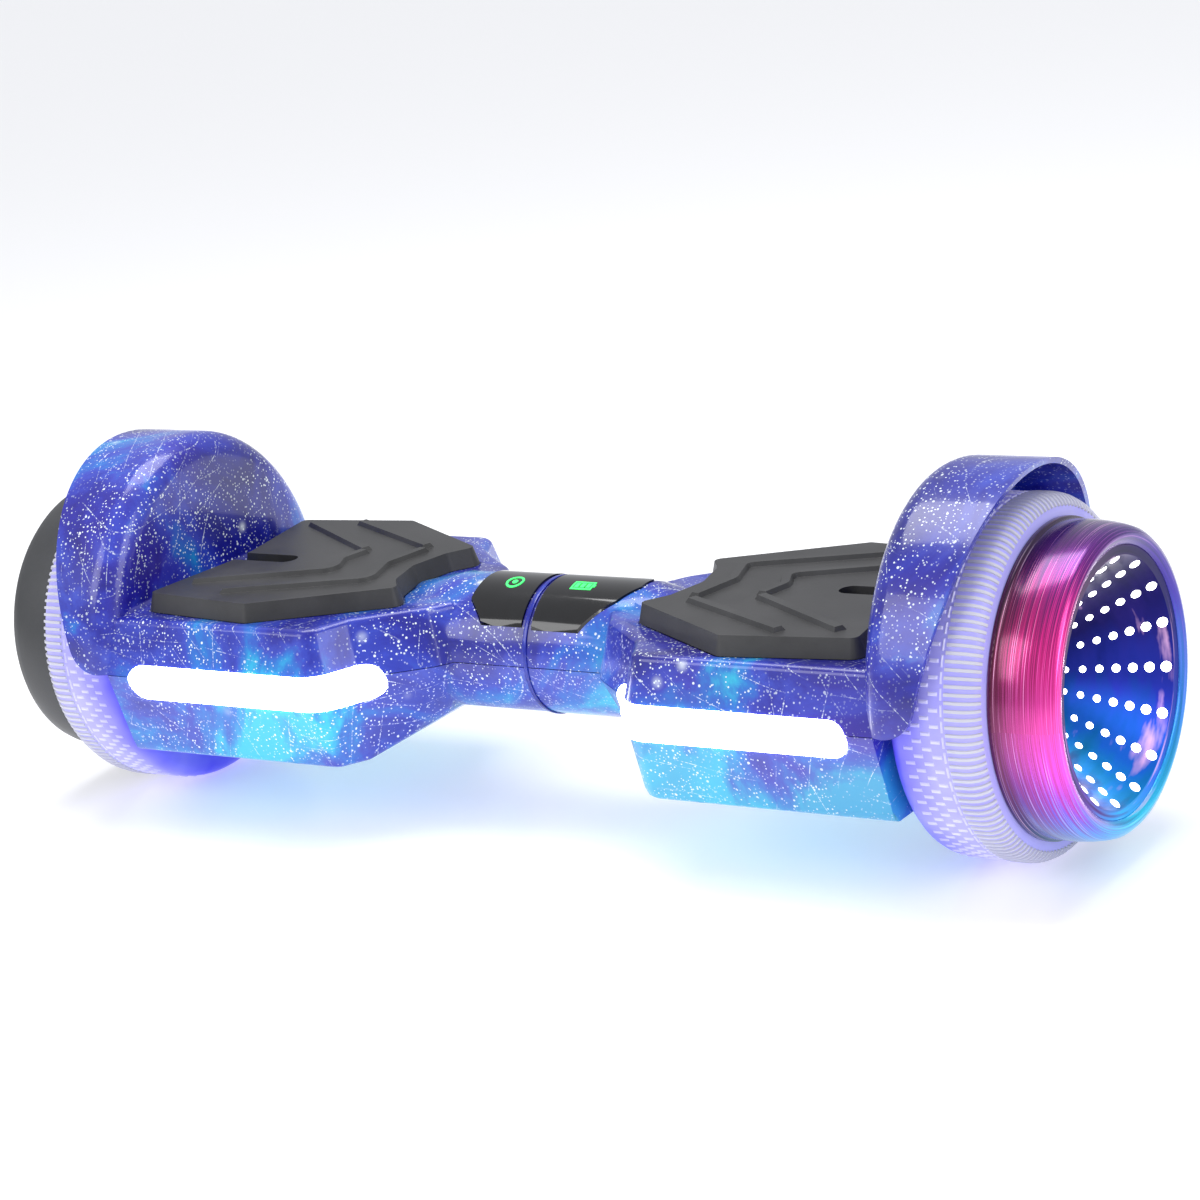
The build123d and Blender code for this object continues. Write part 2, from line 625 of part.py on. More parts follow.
with BuildPart() as main_board:
    board_top_z = BOARD_Z + 1.6
    add(block((86, 158), (-33, 33), (BOARD_Z, board_top_z)))
    for x in (92, 154):
        for y in (-29.5, 29.5):
            add(upright(x, y, 2.6, inner_floor_z, BOARD_Z + 0.5))
    for x in (LINK_DROP_X, LEAD_DROP_X):
        add(block((x - 5, x + 5), (-7, 7), (BOARD_Z + 1, CABLE_END_Z)))
    for y in (-22, 22):
        add(block((102, 144), (y - 5, y + 5), (BOARD_Z + 1, 64)))
    for x in (108, 122):
        add(upright(x, 4, 6, BOARD_Z + 1, 67))
save(main_board.part, "main_board")

with BuildPart() as speaker:
    cone_top_z = inner_floor_z + 13
    add(upright(SPEAKER_X, 0, SPEAKER_RADIUS, inner_floor_z, inner_floor_z + 2.5))
    with BuildSketch(Plane.XY.offset(inner_floor_z + 2.5)):
        with Locations((SPEAKER_X, 0)):
            Circle(SPEAKER_RADIUS - 3)
    extrude(amount=7, taper=35)
    add(upright(SPEAKER_X, 0, 11, inner_floor_z + 9, cone_top_z))
    add(upright(SPEAKER_X, 0, 13, inner_floor_z - 1, inner_floor_z + 1.5), mode=Mode.SUBTRACT)
save(speaker.part, "speaker")

with BuildPart() as charge_port:
    with BuildSketch(Plane.XZ.offset(-back_face_y)):
        with Locations((PORT_X, BACK_FITTING_Z)):
            Circle(11)
    extrude(amount=-2.0)
    with BuildSketch(Plane.XZ.offset(-back_face_y)):
        with Locations((PORT_X, BACK_FITTING_Z)):
            Circle(8.3)
    extrude(amount=14)
    with BuildSketch(Plane.XZ.offset(-back_face_y - 2)):
        with Locations((PORT_X, BACK_FITTING_Z)):
            Circle(7)
    extrude(amount=12, mode=Mode.SUBTRACT)
    with BuildSketch(Plane.XZ.offset(-back_face_y + 10)):
        with Locations((PORT_X, BACK_FITTING_Z)):
            with PolarLocations(3.6, 3):
                Circle(1)
    extrude(amount=-6.5)
save(charge_port.part, "charge_port")

with BuildPart() as power_button:
    with BuildSketch(Plane.XZ.offset(-back_face_y - 0.4 - BUTTON_TRAVEL)):
        with Locations((BUTTON_X, BACK_FITTING_Z)):
            Circle(8.5)
    extrude(amount=-2.4)
    with BuildSketch(Plane.XZ.offset(-back_face_y - 0.4 - BUTTON_TRAVEL)):
        with Locations((BUTTON_X, BACK_FITTING_Z)):
            Circle(6.2)
    extrude(amount=7)
save(power_button.part, "power_button")

# ---- Wheels ------------------------------------------------------------------------------------

tyre_flank = TYRE_RADIUS - TYRE_SHOULDER
with BuildPart() as tyre:
    with BuildSketch(Plane.XZ) as section:
        with BuildLine():
            Polyline(
                (TYRE_INNER_X, AXLE_Z + TYRE_BORE_RADIUS),
                (TYRE_INNER_X, AXLE_Z + TYRE_RADIUS),
                (TYRE_OUTER_X, AXLE_Z + TYRE_RADIUS),
                (TYRE_OUTER_X, AXLE_Z + TYRE_BORE_RADIUS),
                close=True,
            )
        make_face()
        fillet(section.vertices().group_by(Axis.Y)[-1], radius=TYRE_SHOULDER)
    revolve(axis=SPIN_AXIS)
save_pair(tyre.part, "tyre")

rim = revolved(
    (
        (RIM_INNER_X, RIM_BORE_RADIUS),
        (RIM_INNER_X, TYRE_BORE_RADIUS),
        (RIM_OUTER_X, TYRE_BORE_RADIUS),
        (RIM_OUTER_X, RIM_BORE_RADIUS),
        (OUTER_COVER_X, RIM_BORE_RADIUS),
        (OUTER_COVER_X, RIM_BORE_RADIUS - 3),
        (OUTER_COVER_X - 3, RIM_BORE_RADIUS - 3),
        (OUTER_COVER_X - 3, RIM_BORE_RADIUS),
    )
)
SCREW_CIRCLE = 63.5
with BuildPart() as drilled_rim:
    add(rim)
    with BuildSketch(Plane.YZ.offset(RIM_INNER_X)):
        with Locations((0, AXLE_Z)):
            with PolarLocations(SCREW_CIRCLE, 6):
                Circle(1.4)
    extrude(amount=9, mode=Mode.SUBTRACT)
save_pair(drilled_rim.part, "rim")

MAGNET_COUNT = 30
MAGNET_THICKNESS = 3.2
magnet_x = (229.5, 247.0)
with BuildPart() as magnet_ring:
    add(along_x(0, AXLE_Z, RIM_BORE_RADIUS, *magnet_x))
    add(along_x(0, AXLE_Z, RIM_BORE_RADIUS - MAGNET_THICKNESS, 229, 248), mode=Mode.SUBTRACT)

with BuildPart() as magnets:
    with BuildSketch(Plane.YZ.offset(magnet_x[0])):
        with Locations((0, AXLE_Z)):
            with PolarLocations(RIM_BORE_RADIUS - 2, MAGNET_COUNT):
                Rectangle(9, 11)
    extrude(amount=magnet_x[1] - magnet_x[0])
    add(magnet_ring.part, mode=Mode.INTERSECT)
save_pair(magnets.part, "magnets")

SLOT_COUNT = 27
with BuildPart() as stator:
    core_x = (230.5, 246.5)
    with BuildSketch(Plane.YZ.offset(core_x[0])):
        with Locations((0, AXLE_Z)):
            Circle(38)
            with PolarLocations(45, SLOT_COUNT):
                Rectangle(22, 4)
            with PolarLocations(55, SLOT_COUNT):
                Rectangle(2.6, 10)
            Circle(29, mode=Mode.SUBTRACT)
    extrude(amount=core_x[1] - core_x[0])
    with BuildSketch(Plane.YZ.offset(core_x[0] - 2.5)):
        with Locations((0, AXLE_Z)):
            with PolarLocations(45.5, SLOT_COUNT):
                RectangleRounded(14, 8.2, 2)
    extrude(amount=core_x[1] - core_x[0] + 5)
    with BuildSketch(Plane.YZ.offset(234)):
        with Locations((0, AXLE_Z)):
            Circle(30)
            with PolarLocations(19, 5):
                Circle(5, mode=Mode.SUBTRACT)
    extrude(amount=8)
    add(along_x(0, AXLE_Z, AXLE_RADIUS, 225, 250), mode=Mode.SUBTRACT)
save_pair(stator.part, "stator")


def motor_cover(face_x, boss_side, outer_radius, pocket_depth, hole_radius):
    """Disc with a bearing pocket in a boss that points into the motor."""
    boss_length = BEARING_WIDTH - pocket_depth
    boss_x = (face_x + COVER_THICKNESS, face_x + COVER_THICKNESS + boss_length)
    pocket_x = (boss_x[1] - BEARING_WIDTH, boss_x[1])
    if boss_side < 0:
        boss_x = (face_x - boss_length, face_x)
        pocket_x = (boss_x[0], boss_x[0] + BEARING_WIDTH)
    with BuildPart() as cover:
        add(along_x(0, AXLE_Z, outer_radius, face_x, face_x + COVER_THICKNESS))
        add(along_x(0, AXLE_Z, BEARING_RADIUS + 4, *boss_x))
        add(along_x(0, AXLE_Z, BEARING_RADIUS, *pocket_x), mode=Mode.SUBTRACT)
        if hole_radius:
            add(along_x(0, AXLE_Z, hole_radius, face_x - 1, face_x + 9), mode=Mode.SUBTRACT)
    return cover.part


with BuildPart() as inner_cover:
    cover_x = RIM_INNER_X - COVER_THICKNESS
    add(motor_cover(cover_x, 1, TYRE_BORE_RADIUS - 0.3, COVER_THICKNESS - 1, AXLE_RADIUS + 0.8))
    with BuildSketch(Plane.YZ.offset(cover_x)):
        with Locations((0, AXLE_Z)):
            with PolarLocations(SCREW_CIRCLE, 6):
                Circle(1.7)
    extrude(amount=COVER_THICKNESS, mode=Mode.SUBTRACT)
save_pair(inner_cover.part, "inner_motor_cover")

outer_cover = motor_cover(OUTER_COVER_X, -1, RIM_BORE_RADIUS, COVER_THICKNESS - 2, 0)
save_pair(outer_cover, "outer_motor_cover")

with BuildPart() as wheel_bearings:
    inner_bearing_x = RIM_INNER_X - 3
    outer_bearing_x = OUTER_COVER_X + 2 - BEARING_WIDTH
    for low_x in (inner_bearing_x, outer_bearing_x):
        ring_profile = (
            (low_x, AXLE_RADIUS + RUNNING_FIT),
            (low_x, BEARING_RADIUS - 3.5),
            (low_x + 0.6, BEARING_RADIUS - 3.5),
            (low_x + 0.6, BEARING_RADIUS - 2),
            (low_x, BEARING_RADIUS - 2),
            (low_x, BEARING_RADIUS),
            (low_x + BEARING_WIDTH, BEARING_RADIUS),
            (low_x + BEARING_WIDTH, AXLE_RADIUS + RUNNING_FIT),
        )
        add(revolved(ring_profile))
save_pair(wheel_bearings.part, "wheel_bearings")

with BuildPart() as cover_screws:
    with BuildSketch(Plane.YZ.offset(cover_x - 0.6)):
        with Locations((0, AXLE_Z)):
            with PolarLocations(SCREW_CIRCLE, 6):
                Circle(2.2)
    extrude(amount=0.6)
    with BuildSketch(Plane.YZ.offset(cover_x)):
        with Locations((0, AXLE_Z)):
            with PolarLocations(SCREW_CIRCLE, 6):
                Circle(1.3)
    extrude(amount=COVER_THICKNESS + 8)
save_pair(cover_screws.part, "cover_screws")

CAP_BASE_RADIUS = 73.4
CAP_LIP_RADIUS = 69.8
cap_base_x = TYRE_OUTER_X + 0.2
hub_cap = revolved(
    (
        (RIM_OUTER_X - 5, RIM_BORE_RADIUS - 2.5),
        (RIM_OUTER_X - 5, RIM_BORE_RADIUS),
        (RIM_OUTER_X, RIM_BORE_RADIUS),
        (RIM_OUTER_X, TYRE_BORE_RADIUS - 0.4),
        (cap_base_x, TYRE_BORE_RADIUS - 0.4),
        (cap_base_x, CAP_BASE_RADIUS),
        (cap_base_x + 2.2, CAP_BASE_RADIUS),
        (cap_base_x + 3.2, CAP_BASE_RADIUS - 1),
        (284, CAP_LIP_RADIUS + 2.4),
        (295, CAP_LIP_RADIUS + 1.2),
        (298.6, CAP_LIP_RADIUS + 0.1),
        (300.8, CAP_LIP_RADIUS - 1.8),
        (CAP_OUTER_X, CAP_LIP_RADIUS - 3.6),
        (301.0, CAP_LIP_RADIUS - 5.2),
        (299.2, CAP_LIP_RADIUS - 8.2),
        (297.0, CAP_LIP_RADIUS - 8.2),
        (297.0, CAP_LIP_RADIUS - 3.4),
        (284, CAP_LIP_RADIUS - 1),
        (cap_base_x + 4, CAP_LIP_RADIUS - 0.2),
        (cap_base_x + 2.2, TYRE_BORE_RADIUS - 3),
        (cap_base_x, RIM_BORE_RADIUS - 2.5),
    )
)
save_pair(hub_cap, "hub_cap")

DISH_WALL = 1.6
dish_mouth = (298.6, 57.0)
dish_floor = (256.4, 22.5)
lamp_dish = revolved(
    (
        (297.0, 66.0),
        (297.0, 61.4),
        (299.0, 61.4),
        dish_mouth,
        dish_floor,
        (dish_floor[0], 0),
        (dish_floor[0] - DISH_WALL, 0),
        (dish_floor[0] - DISH_WALL, dish_floor[1] + 1),
        (dish_mouth[0] - 3.2, dish_mouth[1] + 1.2),
        (295.4, 66.0),
    )
)
save_pair(lamp_dish, "lamp_dish")

with BuildPart() as lamp_board:
    board_x = 264.0
    with BuildSketch(Plane.YZ.offset(board_x)):
        with Locations((0, AXLE_Z)):
            Circle(58)
            Circle(33, mode=Mode.SUBTRACT)
    extrude(amount=1.6)
    with BuildSketch(Plane.YZ.offset(board_x + 1.6)):
        with Locations((0, AXLE_Z)):
            with PolarLocations(52, 16):
                Rectangle(5, 5)
    extrude(amount=1.4)
save_pair(lamp_board.part, "lamp_board")
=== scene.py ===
"""Looks of a self balancing board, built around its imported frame.

Metres, in the frame's own axes: +X runs along the wheel axle to the right half, -Y is the front
with the lights and +Z is up.
"""

import logging
import math
from dataclasses import dataclass, field
from enum import Enum
from typing import NamedTuple, Sequence

import bmesh
import bpy
from mathutils import Matrix, Vector

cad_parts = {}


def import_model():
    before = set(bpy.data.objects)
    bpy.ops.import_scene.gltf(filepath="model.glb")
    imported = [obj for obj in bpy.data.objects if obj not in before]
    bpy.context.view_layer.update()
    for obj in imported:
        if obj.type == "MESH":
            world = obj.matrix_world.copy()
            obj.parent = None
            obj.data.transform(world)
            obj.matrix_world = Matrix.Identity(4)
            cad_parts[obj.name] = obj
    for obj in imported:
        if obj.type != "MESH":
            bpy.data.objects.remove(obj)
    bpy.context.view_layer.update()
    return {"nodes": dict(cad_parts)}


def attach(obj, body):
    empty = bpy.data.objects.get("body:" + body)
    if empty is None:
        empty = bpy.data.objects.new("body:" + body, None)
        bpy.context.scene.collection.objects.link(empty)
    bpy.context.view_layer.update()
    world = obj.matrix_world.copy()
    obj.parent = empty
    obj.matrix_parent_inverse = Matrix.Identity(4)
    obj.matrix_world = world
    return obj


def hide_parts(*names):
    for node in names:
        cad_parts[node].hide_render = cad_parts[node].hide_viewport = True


FRAME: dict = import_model()

LOG = logging.getLogger("board")
MM = 0.001
AXLE_Z = 84 * MM
AXLE_CENTRE = Vector((0, 0, AXLE_Z))
PANEL_RADIUS = 34.6 * MM
ROUND_STEPS = 128
MERGE_DISTANCE = 0.005 * MM
# A wave texture of scale 1 repeats about every 0.314 units.
WAVE_UNIT = math.tau / 20

Colour = tuple[float, float, float, float]
Stops = Sequence[tuple[float, str]]
Tree = bpy.types.NodeTree
Node = bpy.types.Node
Socket = bpy.types.NodeSocket


class Side(Enum):
    """The two halves, with the sign of X on each."""

    RIGHT = 1
    LEFT = -1

    @property
    def label(self) -> str:
        """Name of the half as the nodes spell it."""
        return self.name.lower()


# ---- Shading tools -----------------------------------------------------------------------------


def srgb(code: str) -> Colour:
    """Turn an sRGB hex code into a linear colour.

    Args:
        code: Colour such as "#2f3fae".

    Returns:
        Red, green, blue and an alpha of 1.
    """
    channels = [int(code[start : start + 2], 16) / 255 for start in (1, 3, 5)]
    linear = [c / 12.92 if c <= 0.04045 else ((c + 0.055) / 1.055) ** 2.4 for c in channels]
    return (linear[0], linear[1], linear[2], 1.0)


def per_mm(size: float) -> float:
    """Texture scale that repeats about once in this many millimetres."""
    return 1 / (size * MM)


def add_node(
    tree: Tree, kind: str, inputs: dict | None = None, stops: Stops = (), **settings: object
) -> Node:
    """Add one shader node with its settings and its inputs.

    Args:
        tree: Node tree of the material.
        kind: Node type without its "ShaderNode" prefix.
        inputs: Socket name or index to a value, or to the output that feeds it.
        stops: Places and hex colours of a colour ramp.
        **settings: Properties of the node.

    Returns:
        The new node.
    """
    made = tree.nodes.new("ShaderNode" + kind)
    for name, value in settings.items():
        setattr(made, name, value)
    for key, value in (inputs or {}).items():
        if isinstance(value, bpy.types.NodeSocket):
            tree.links.new(value, made.inputs[key])
        else:
            made.inputs[key].default_value = value
    for index, (place, code) in enumerate(stops):
        ramp = made.color_ramp.elements
        stop = ramp[index] if index < 2 else ramp.new(place)
        stop.position = place
        stop.color = srgb(code)
    return made


def noise(
    tree: Tree, place: Socket, size: float, detail: float, roughness: float = 0.5, distortion: float = 0.0
) -> Socket:
    """Noise whose features are about this many millimetres across.

    Args:
        tree: Node tree of the material.
        place: Coordinates in metres.
        size: Size of the features in millimetres.
        detail: Number of finer layers.
        roughness: Weight of the finer layers.
        distortion: How far the noise is stirred.

    Returns:
        An output of about 0.3 to 0.7.
    """
    inputs = {"Vector": place, "Scale": per_mm(size), "Detail": detail}
    inputs.update({"Roughness": roughness, "Distortion": distortion})
    return add_node(tree, "TexNoise", inputs).outputs[0]


def remap(tree: Tree, value: Socket, source: tuple, target: tuple[float, float]) -> Socket:
    """Carry a value from one range to another, held at the ends.

    Args:
        tree: Node tree of the material.
        value: Output to carry over.
        source: Ends of the range that it comes from; each is a number or an output.
        target: Ends of the range that it goes to.

    Returns:
        The carried output.
    """
    inputs = {0: value, 1: source[0], 2: source[1], 3: target[0], 4: target[1]}
    return add_node(tree, "MapRange", inputs).outputs[0]


def maths(tree: Tree, operation: str, first: Socket, second: Socket | float = 0.0) -> Socket:
    """One step of arithmetic on outputs; the operation is named as Blender spells it."""
    return add_node(tree, "Math", {0: first, 1: second}, operation=operation).outputs[0]


def blend(
    tree: Tree, share: Socket | float, under: Socket | Colour, over: Socket | Colour, kind: str = "MIX"
) -> Socket:
    """Lay one colour over another.

    Args:
        tree: Node tree of the material.
        share: How much of the upper colour shows.
        under: Lower colour.
        over: Upper colour.
        kind: How they blend, as Blender spells it.

    Returns:
        The blended colour.
    """
    inputs = {0: share, 6: under, 7: over}
    return add_node(tree, "Mix", inputs, data_type="RGBA", blend_type=kind).outputs[2]


def feed(tree: Tree, output: Socket, shader: Node, *sockets: str) -> None:
    """Link one output to each of the shader's named sockets."""
    for name in sockets:
        tree.links.new(output, shader.inputs[name])


@dataclass(frozen=True)
class Finish:
    """A surface: its real material, its gloss and its own pattern.

    The subclasses paint the colour and the relief; this one sets what is the same all over.
    """

    name: str
    roughness: float = 0.4
    ior: float = 1.5
    metallic: float = 0.0
    coat: float = 0.0
    coat_roughness: float = 0.03
    glow: float = 0.0

    def material(self) -> bpy.types.Material:
        """Make the material once and return it."""
        made = bpy.data.materials.get(self.name)
        if made:
            return made
        made = bpy.data.materials.new(self.name)
        made.use_nodes = True
        tree = made.node_tree
        tree.nodes.clear()
        shader = add_node(
            tree,
            "BsdfPrincipled",
            {
                "Roughness": self.roughness,
                "IOR": self.ior,
                "Metallic": self.metallic,
                "Coat Weight": self.coat,
                "Coat Roughness": self.coat_roughness,
                "Emission Strength": self.glow,
            },
        )
        add_node(tree, "OutputMaterial", {"Surface": shader.outputs[0]})
        place = add_node(tree, "TexCoord").outputs["Object"]
        self.paint(tree, shader, place)
        return made

    def paint(self, tree: Tree, shader: Node, place: Socket) -> None:
        """Link the colour and the relief to the shader; the subclasses say how."""
        raise NotImplementedError

    @staticmethod
    def relief(tree: Tree, shader: Node, height: Socket, depth: float, strength: float) -> None:
        """Link a height to the shader's normal.

        Args:
            tree: Node tree of the material.
            shader: Shader to link to.
            height: Output that holds the height.
            depth: Height of the relief in millimetres.
            strength: Share of the relief that shows.
        """
        bump = add_node(tree, "Bump", {"Height": height, "Distance": depth * MM, "Strength": strength})
        feed(tree, bump.outputs[0], shader, "Normal")


class Stars(NamedTuple):
    """One size of star.

    Its spacing in mm and the share of places that hold one, then its largest radius and its soft
    edge as shares of the spacing.
    """

    spacing: float
    held: float
    radius: float
    soft: float


class Scratches(NamedTuple):
    """One set of fine curved lines: its turn in radians, its spacing in mm and how far it bends."""

    turn: float
    spacing: float
    bend: float


@dataclass(frozen=True)
class SpacePrint(Finish):
    """ABS with a water-transfer print of a night sky under clear lacquer: deep colour, sharp reflections."""

    deep: str = "#0d0a78"
    blue: str = "#1b22a0"
    haze: str = "#2f44c0"
    azure: str = "#1878d2"
    cloud: str = "#1ec6e6"
    violet: str = "#4a22a8"
    star: str = "#f2fbff"
    # Heights in mm between which the clouds thin out.
    cloud_heights: tuple[float, float] = (45.0, 110.0)
    stars: tuple[Stars, ...] = (
        Stars(1.7, 0.75, 0.27, 0.1),
        Stars(3.2, 0.6, 0.2, 0.07),
        Stars(7.0, 0.45, 0.1, 0.06),
        Stars(27, 0.6, 0.03, 0.15),
    )
    scratches: tuple[Scratches, ...] = (
        Scratches(0.62, 11, 3.5),
        Scratches(-0.45, 14, 4.5),
        Scratches(1.2, 17, 6.0),
        Scratches(2.1, 23, 7.0),
        Scratches(0.2, 45, 3.0),
        Scratches(-0.9, 60, 4.0),
    )
    scratch_width: float = 0.4
    # Radius of the smallest star of a size, as a share of the largest.
    smallest_star: float = 0.35

    def paint(self, tree: Tree, shader: Node, place: Socket) -> None:
        """Clouds of blue, then scratches, specks and glowing stars."""
        clouds = noise(tree, place, 80, 7, 0.6, 0.7)
        height = add_node(tree, "SeparateXYZ", {0: place}).outputs[2]
        low, high = (level * MM for level in self.cloud_heights)
        thick = maths(tree, "ADD", clouds, remap(tree, height, (low, high), (0.15, 0.01)))
        stops = (
            (0.36, self.deep),
            (0.46, self.blue),
            (0.54, self.haze),
            (0.61, self.azure),
            (0.69, self.cloud),
        )
        sky = add_node(tree, "ValToRGB", {0: thick}, stops).outputs[0]
        violet_share = remap(tree, noise(tree, place, 140, 4, 0.5, 0.3), (0.52, 0.68), (0.0, 0.35))
        tinted = blend(tree, violet_share, sky, srgb(self.violet))
        light = maths(
            tree, "MAXIMUM", self.star_light(tree, place), self.scratch_light(tree, place)
        )
        feed(tree, blend(tree, light, tinted, srgb(self.star)), shader, "Base Color")
        self.relief(tree, shader, noise(tree, place, 9, 2), 0.06, 0.25)

    def star_light(self, tree: Tree, place: Socket) -> Socket:
        """How brightly a star shows at each point, from 0 to 1; the stars crowd in some areas."""
        crowding = remap(tree, noise(tree, place, 40, 3), (0.36, 0.55), (0.15, 1.0))
        total = None
        for stars in self.stars:
            inputs = {"Vector": place, "Scale": per_mm(stars.spacing), "Randomness": 1.0}
            cells = add_node(tree, "TexVoronoi", inputs)
            chance = add_node(tree, "SeparateColor", {0: cells.outputs["Color"]})
            held = maths(tree, "LESS_THAN", chance.outputs[0], stars.held)
            smallest = stars.radius * self.smallest_star
            size = remap(tree, chance.outputs[1], (0, 1), (smallest, stars.radius))
            edge = maths(tree, "ADD", size, stars.soft)
            star = remap(tree, cells.outputs["Distance"], (size, edge), (1, 0))
            lit = maths(tree, "MULTIPLY", maths(tree, "POWER", star, 2.0), held)
            glow = maths(tree, "MULTIPLY", lit, crowding)
            total = glow if total is None else maths(tree, "MAXIMUM", total, glow)
        return total

    def scratch_light(self, tree: Tree, place: Socket) -> Socket:
        """How brightly a scratch shows at each point, from 0 to 1; they are dotted and come in patches."""
        broken = remap(tree, noise(tree, place, 1.1, 1), (0.48, 0.58), (0.08, 1))
        total = None
        for scratches in self.scratches:
            turn = scratches.turn
            turned = add_node(tree, "Mapping", {"Vector": place, "Rotation": (turn * 0.8, turn, turn)})
            inputs = {"Vector": turned.outputs[0], "Scale": per_mm(scratches.spacing) * WAVE_UNIT}
            inputs.update({"Distortion": scratches.bend, "Detail": 1.0, "Detail Scale": 0.6})
            lines = add_node(tree, "TexWave", inputs).outputs["Fac"]
            # Height of the cosine wave at half a line's width from its crest.
            edge = 1 - (math.pi * self.scratch_width / 2 / scratches.spacing) ** 2
            thin = remap(tree, lines, (edge, (1 + edge) / 2), (0, 0.8))
            area = noise(tree, turned.outputs[0], 26 + scratches.spacing, 1)
            patch = remap(tree, area, (0.55, 0.64), (0, 0.9))
            shown = maths(tree, "MULTIPLY", maths(tree, "MULTIPLY", thin, broken), patch)
            total = shown if total is None else maths(tree, "MAXIMUM", total, shown)
        return total


@dataclass(frozen=True)
class MouldedRubber(Finish):
    """Moulded rubber or soft plastic: even colour, fine grain, dull sheen."""

    base: str = "#3d3d3e"
    dusty: str = "#59595a"
    grain: float = 1.1
    grain_depth: float = 0.12

    def paint(self, tree: Tree, shader: Node, place: Socket) -> None:
        """Cloudy colour under a pebbled skin."""
        cloud = noise(tree, place, 38, 5, 0.6)
        colour = add_node(tree, "ValToRGB", {0: cloud}, ((0.35, self.base), (0.72, self.dusty)))
        feed(tree, colour.outputs[0], shader, "Base Color")
        gloss = remap(tree, cloud, (0.3, 0.7), (self.roughness - 0.06, self.roughness + 0.08))
        feed(tree, gloss, shader, "Roughness")
        self.relief(tree, shader, noise(tree, place, self.grain, 3), self.grain_depth, 0.35)


@dataclass(frozen=True)
class PlainCard(Finish):
    """Even card of one colour, for the studio floor."""

    colour: str = "#f6f6f7"

    def paint(self, tree: Tree, shader: Node, place: Socket) -> None:
        """One colour all over."""
        shader.inputs["Base Color"].default_value = srgb(self.colour)
        shader.inputs["Emission Color"].default_value = srgb(self.colour)


@dataclass(frozen=True)
class ClearTyre(Finish):
    """Tinted translucent polyurethane: light enters it, so it looks milky and evenly lit; that even light is
    a painted glow.
    """

    pale: str = "#b3affa"
    # Tint where the painted shade beside the body is deepest.
    deep: str = "#4e44f2"
    # Where the painted shade beside the body fades from the deep tint to the pale one, in mm from the middle
    # of the board.
    painted_shade_span: tuple[float, float] = (224.0, 246.0)

    def paint(self, tree: Tree, shader: Node, place: Socket) -> None:
        """Tint with painted shade that deepens it beside the body, clouded a little."""
        outward = maths(tree, "ABSOLUTE", add_node(tree, "SeparateXYZ", {0: place}).outputs[0])
        start, end = (x * MM for x in self.painted_shade_span)
        # Painted shade: the tint deepens towards the body.
        shade_by_body = remap(tree, outward, (start, end), (0.15, 0.85))
        stir = remap(tree, noise(tree, place, 45, 3), (0.3, 0.7), (-0.2, 0.2))
        share = maths(tree, "ADD", shade_by_body, stir)
        colour = add_node(tree, "ValToRGB", {0: share}, ((0.1, self.deep), (0.8, self.pale)))
        # The tint also feeds the glow: painted light for the light that passes through the tyre.
        feed(tree, colour.outputs[0], shader, "Base Color", "Emission Color")
        self.relief(tree, shader, noise(tree, place, 1.6, 2), 0.08, 0.3)


@dataclass(frozen=True)
class GlossPlastic(Finish):
    """Injection-moulded gloss plastic: even colour with the faint ripple of the mould."""

    base: str = "#08080a"
    worn: str = "#101014"

    def paint(self, tree: Tree, shader: Node, place: Socket) -> None:
        """Even colour with faint smears."""
        smear = noise(tree, place, 24, 6, 0.7)
        colour = add_node(tree, "ValToRGB", {0: smear}, ((0.4, self.base), (0.7, self.worn)))
        feed(tree, colour.outputs[0], shader, "Base Color")
        gloss = remap(tree, smear, (0.3, 0.75), (self.roughness, self.roughness + 0.07))
        feed(tree, gloss, shader, "Roughness")
        self.relief(tree, shader, noise(tree, place, 11, 1), 0.04, 0.15)


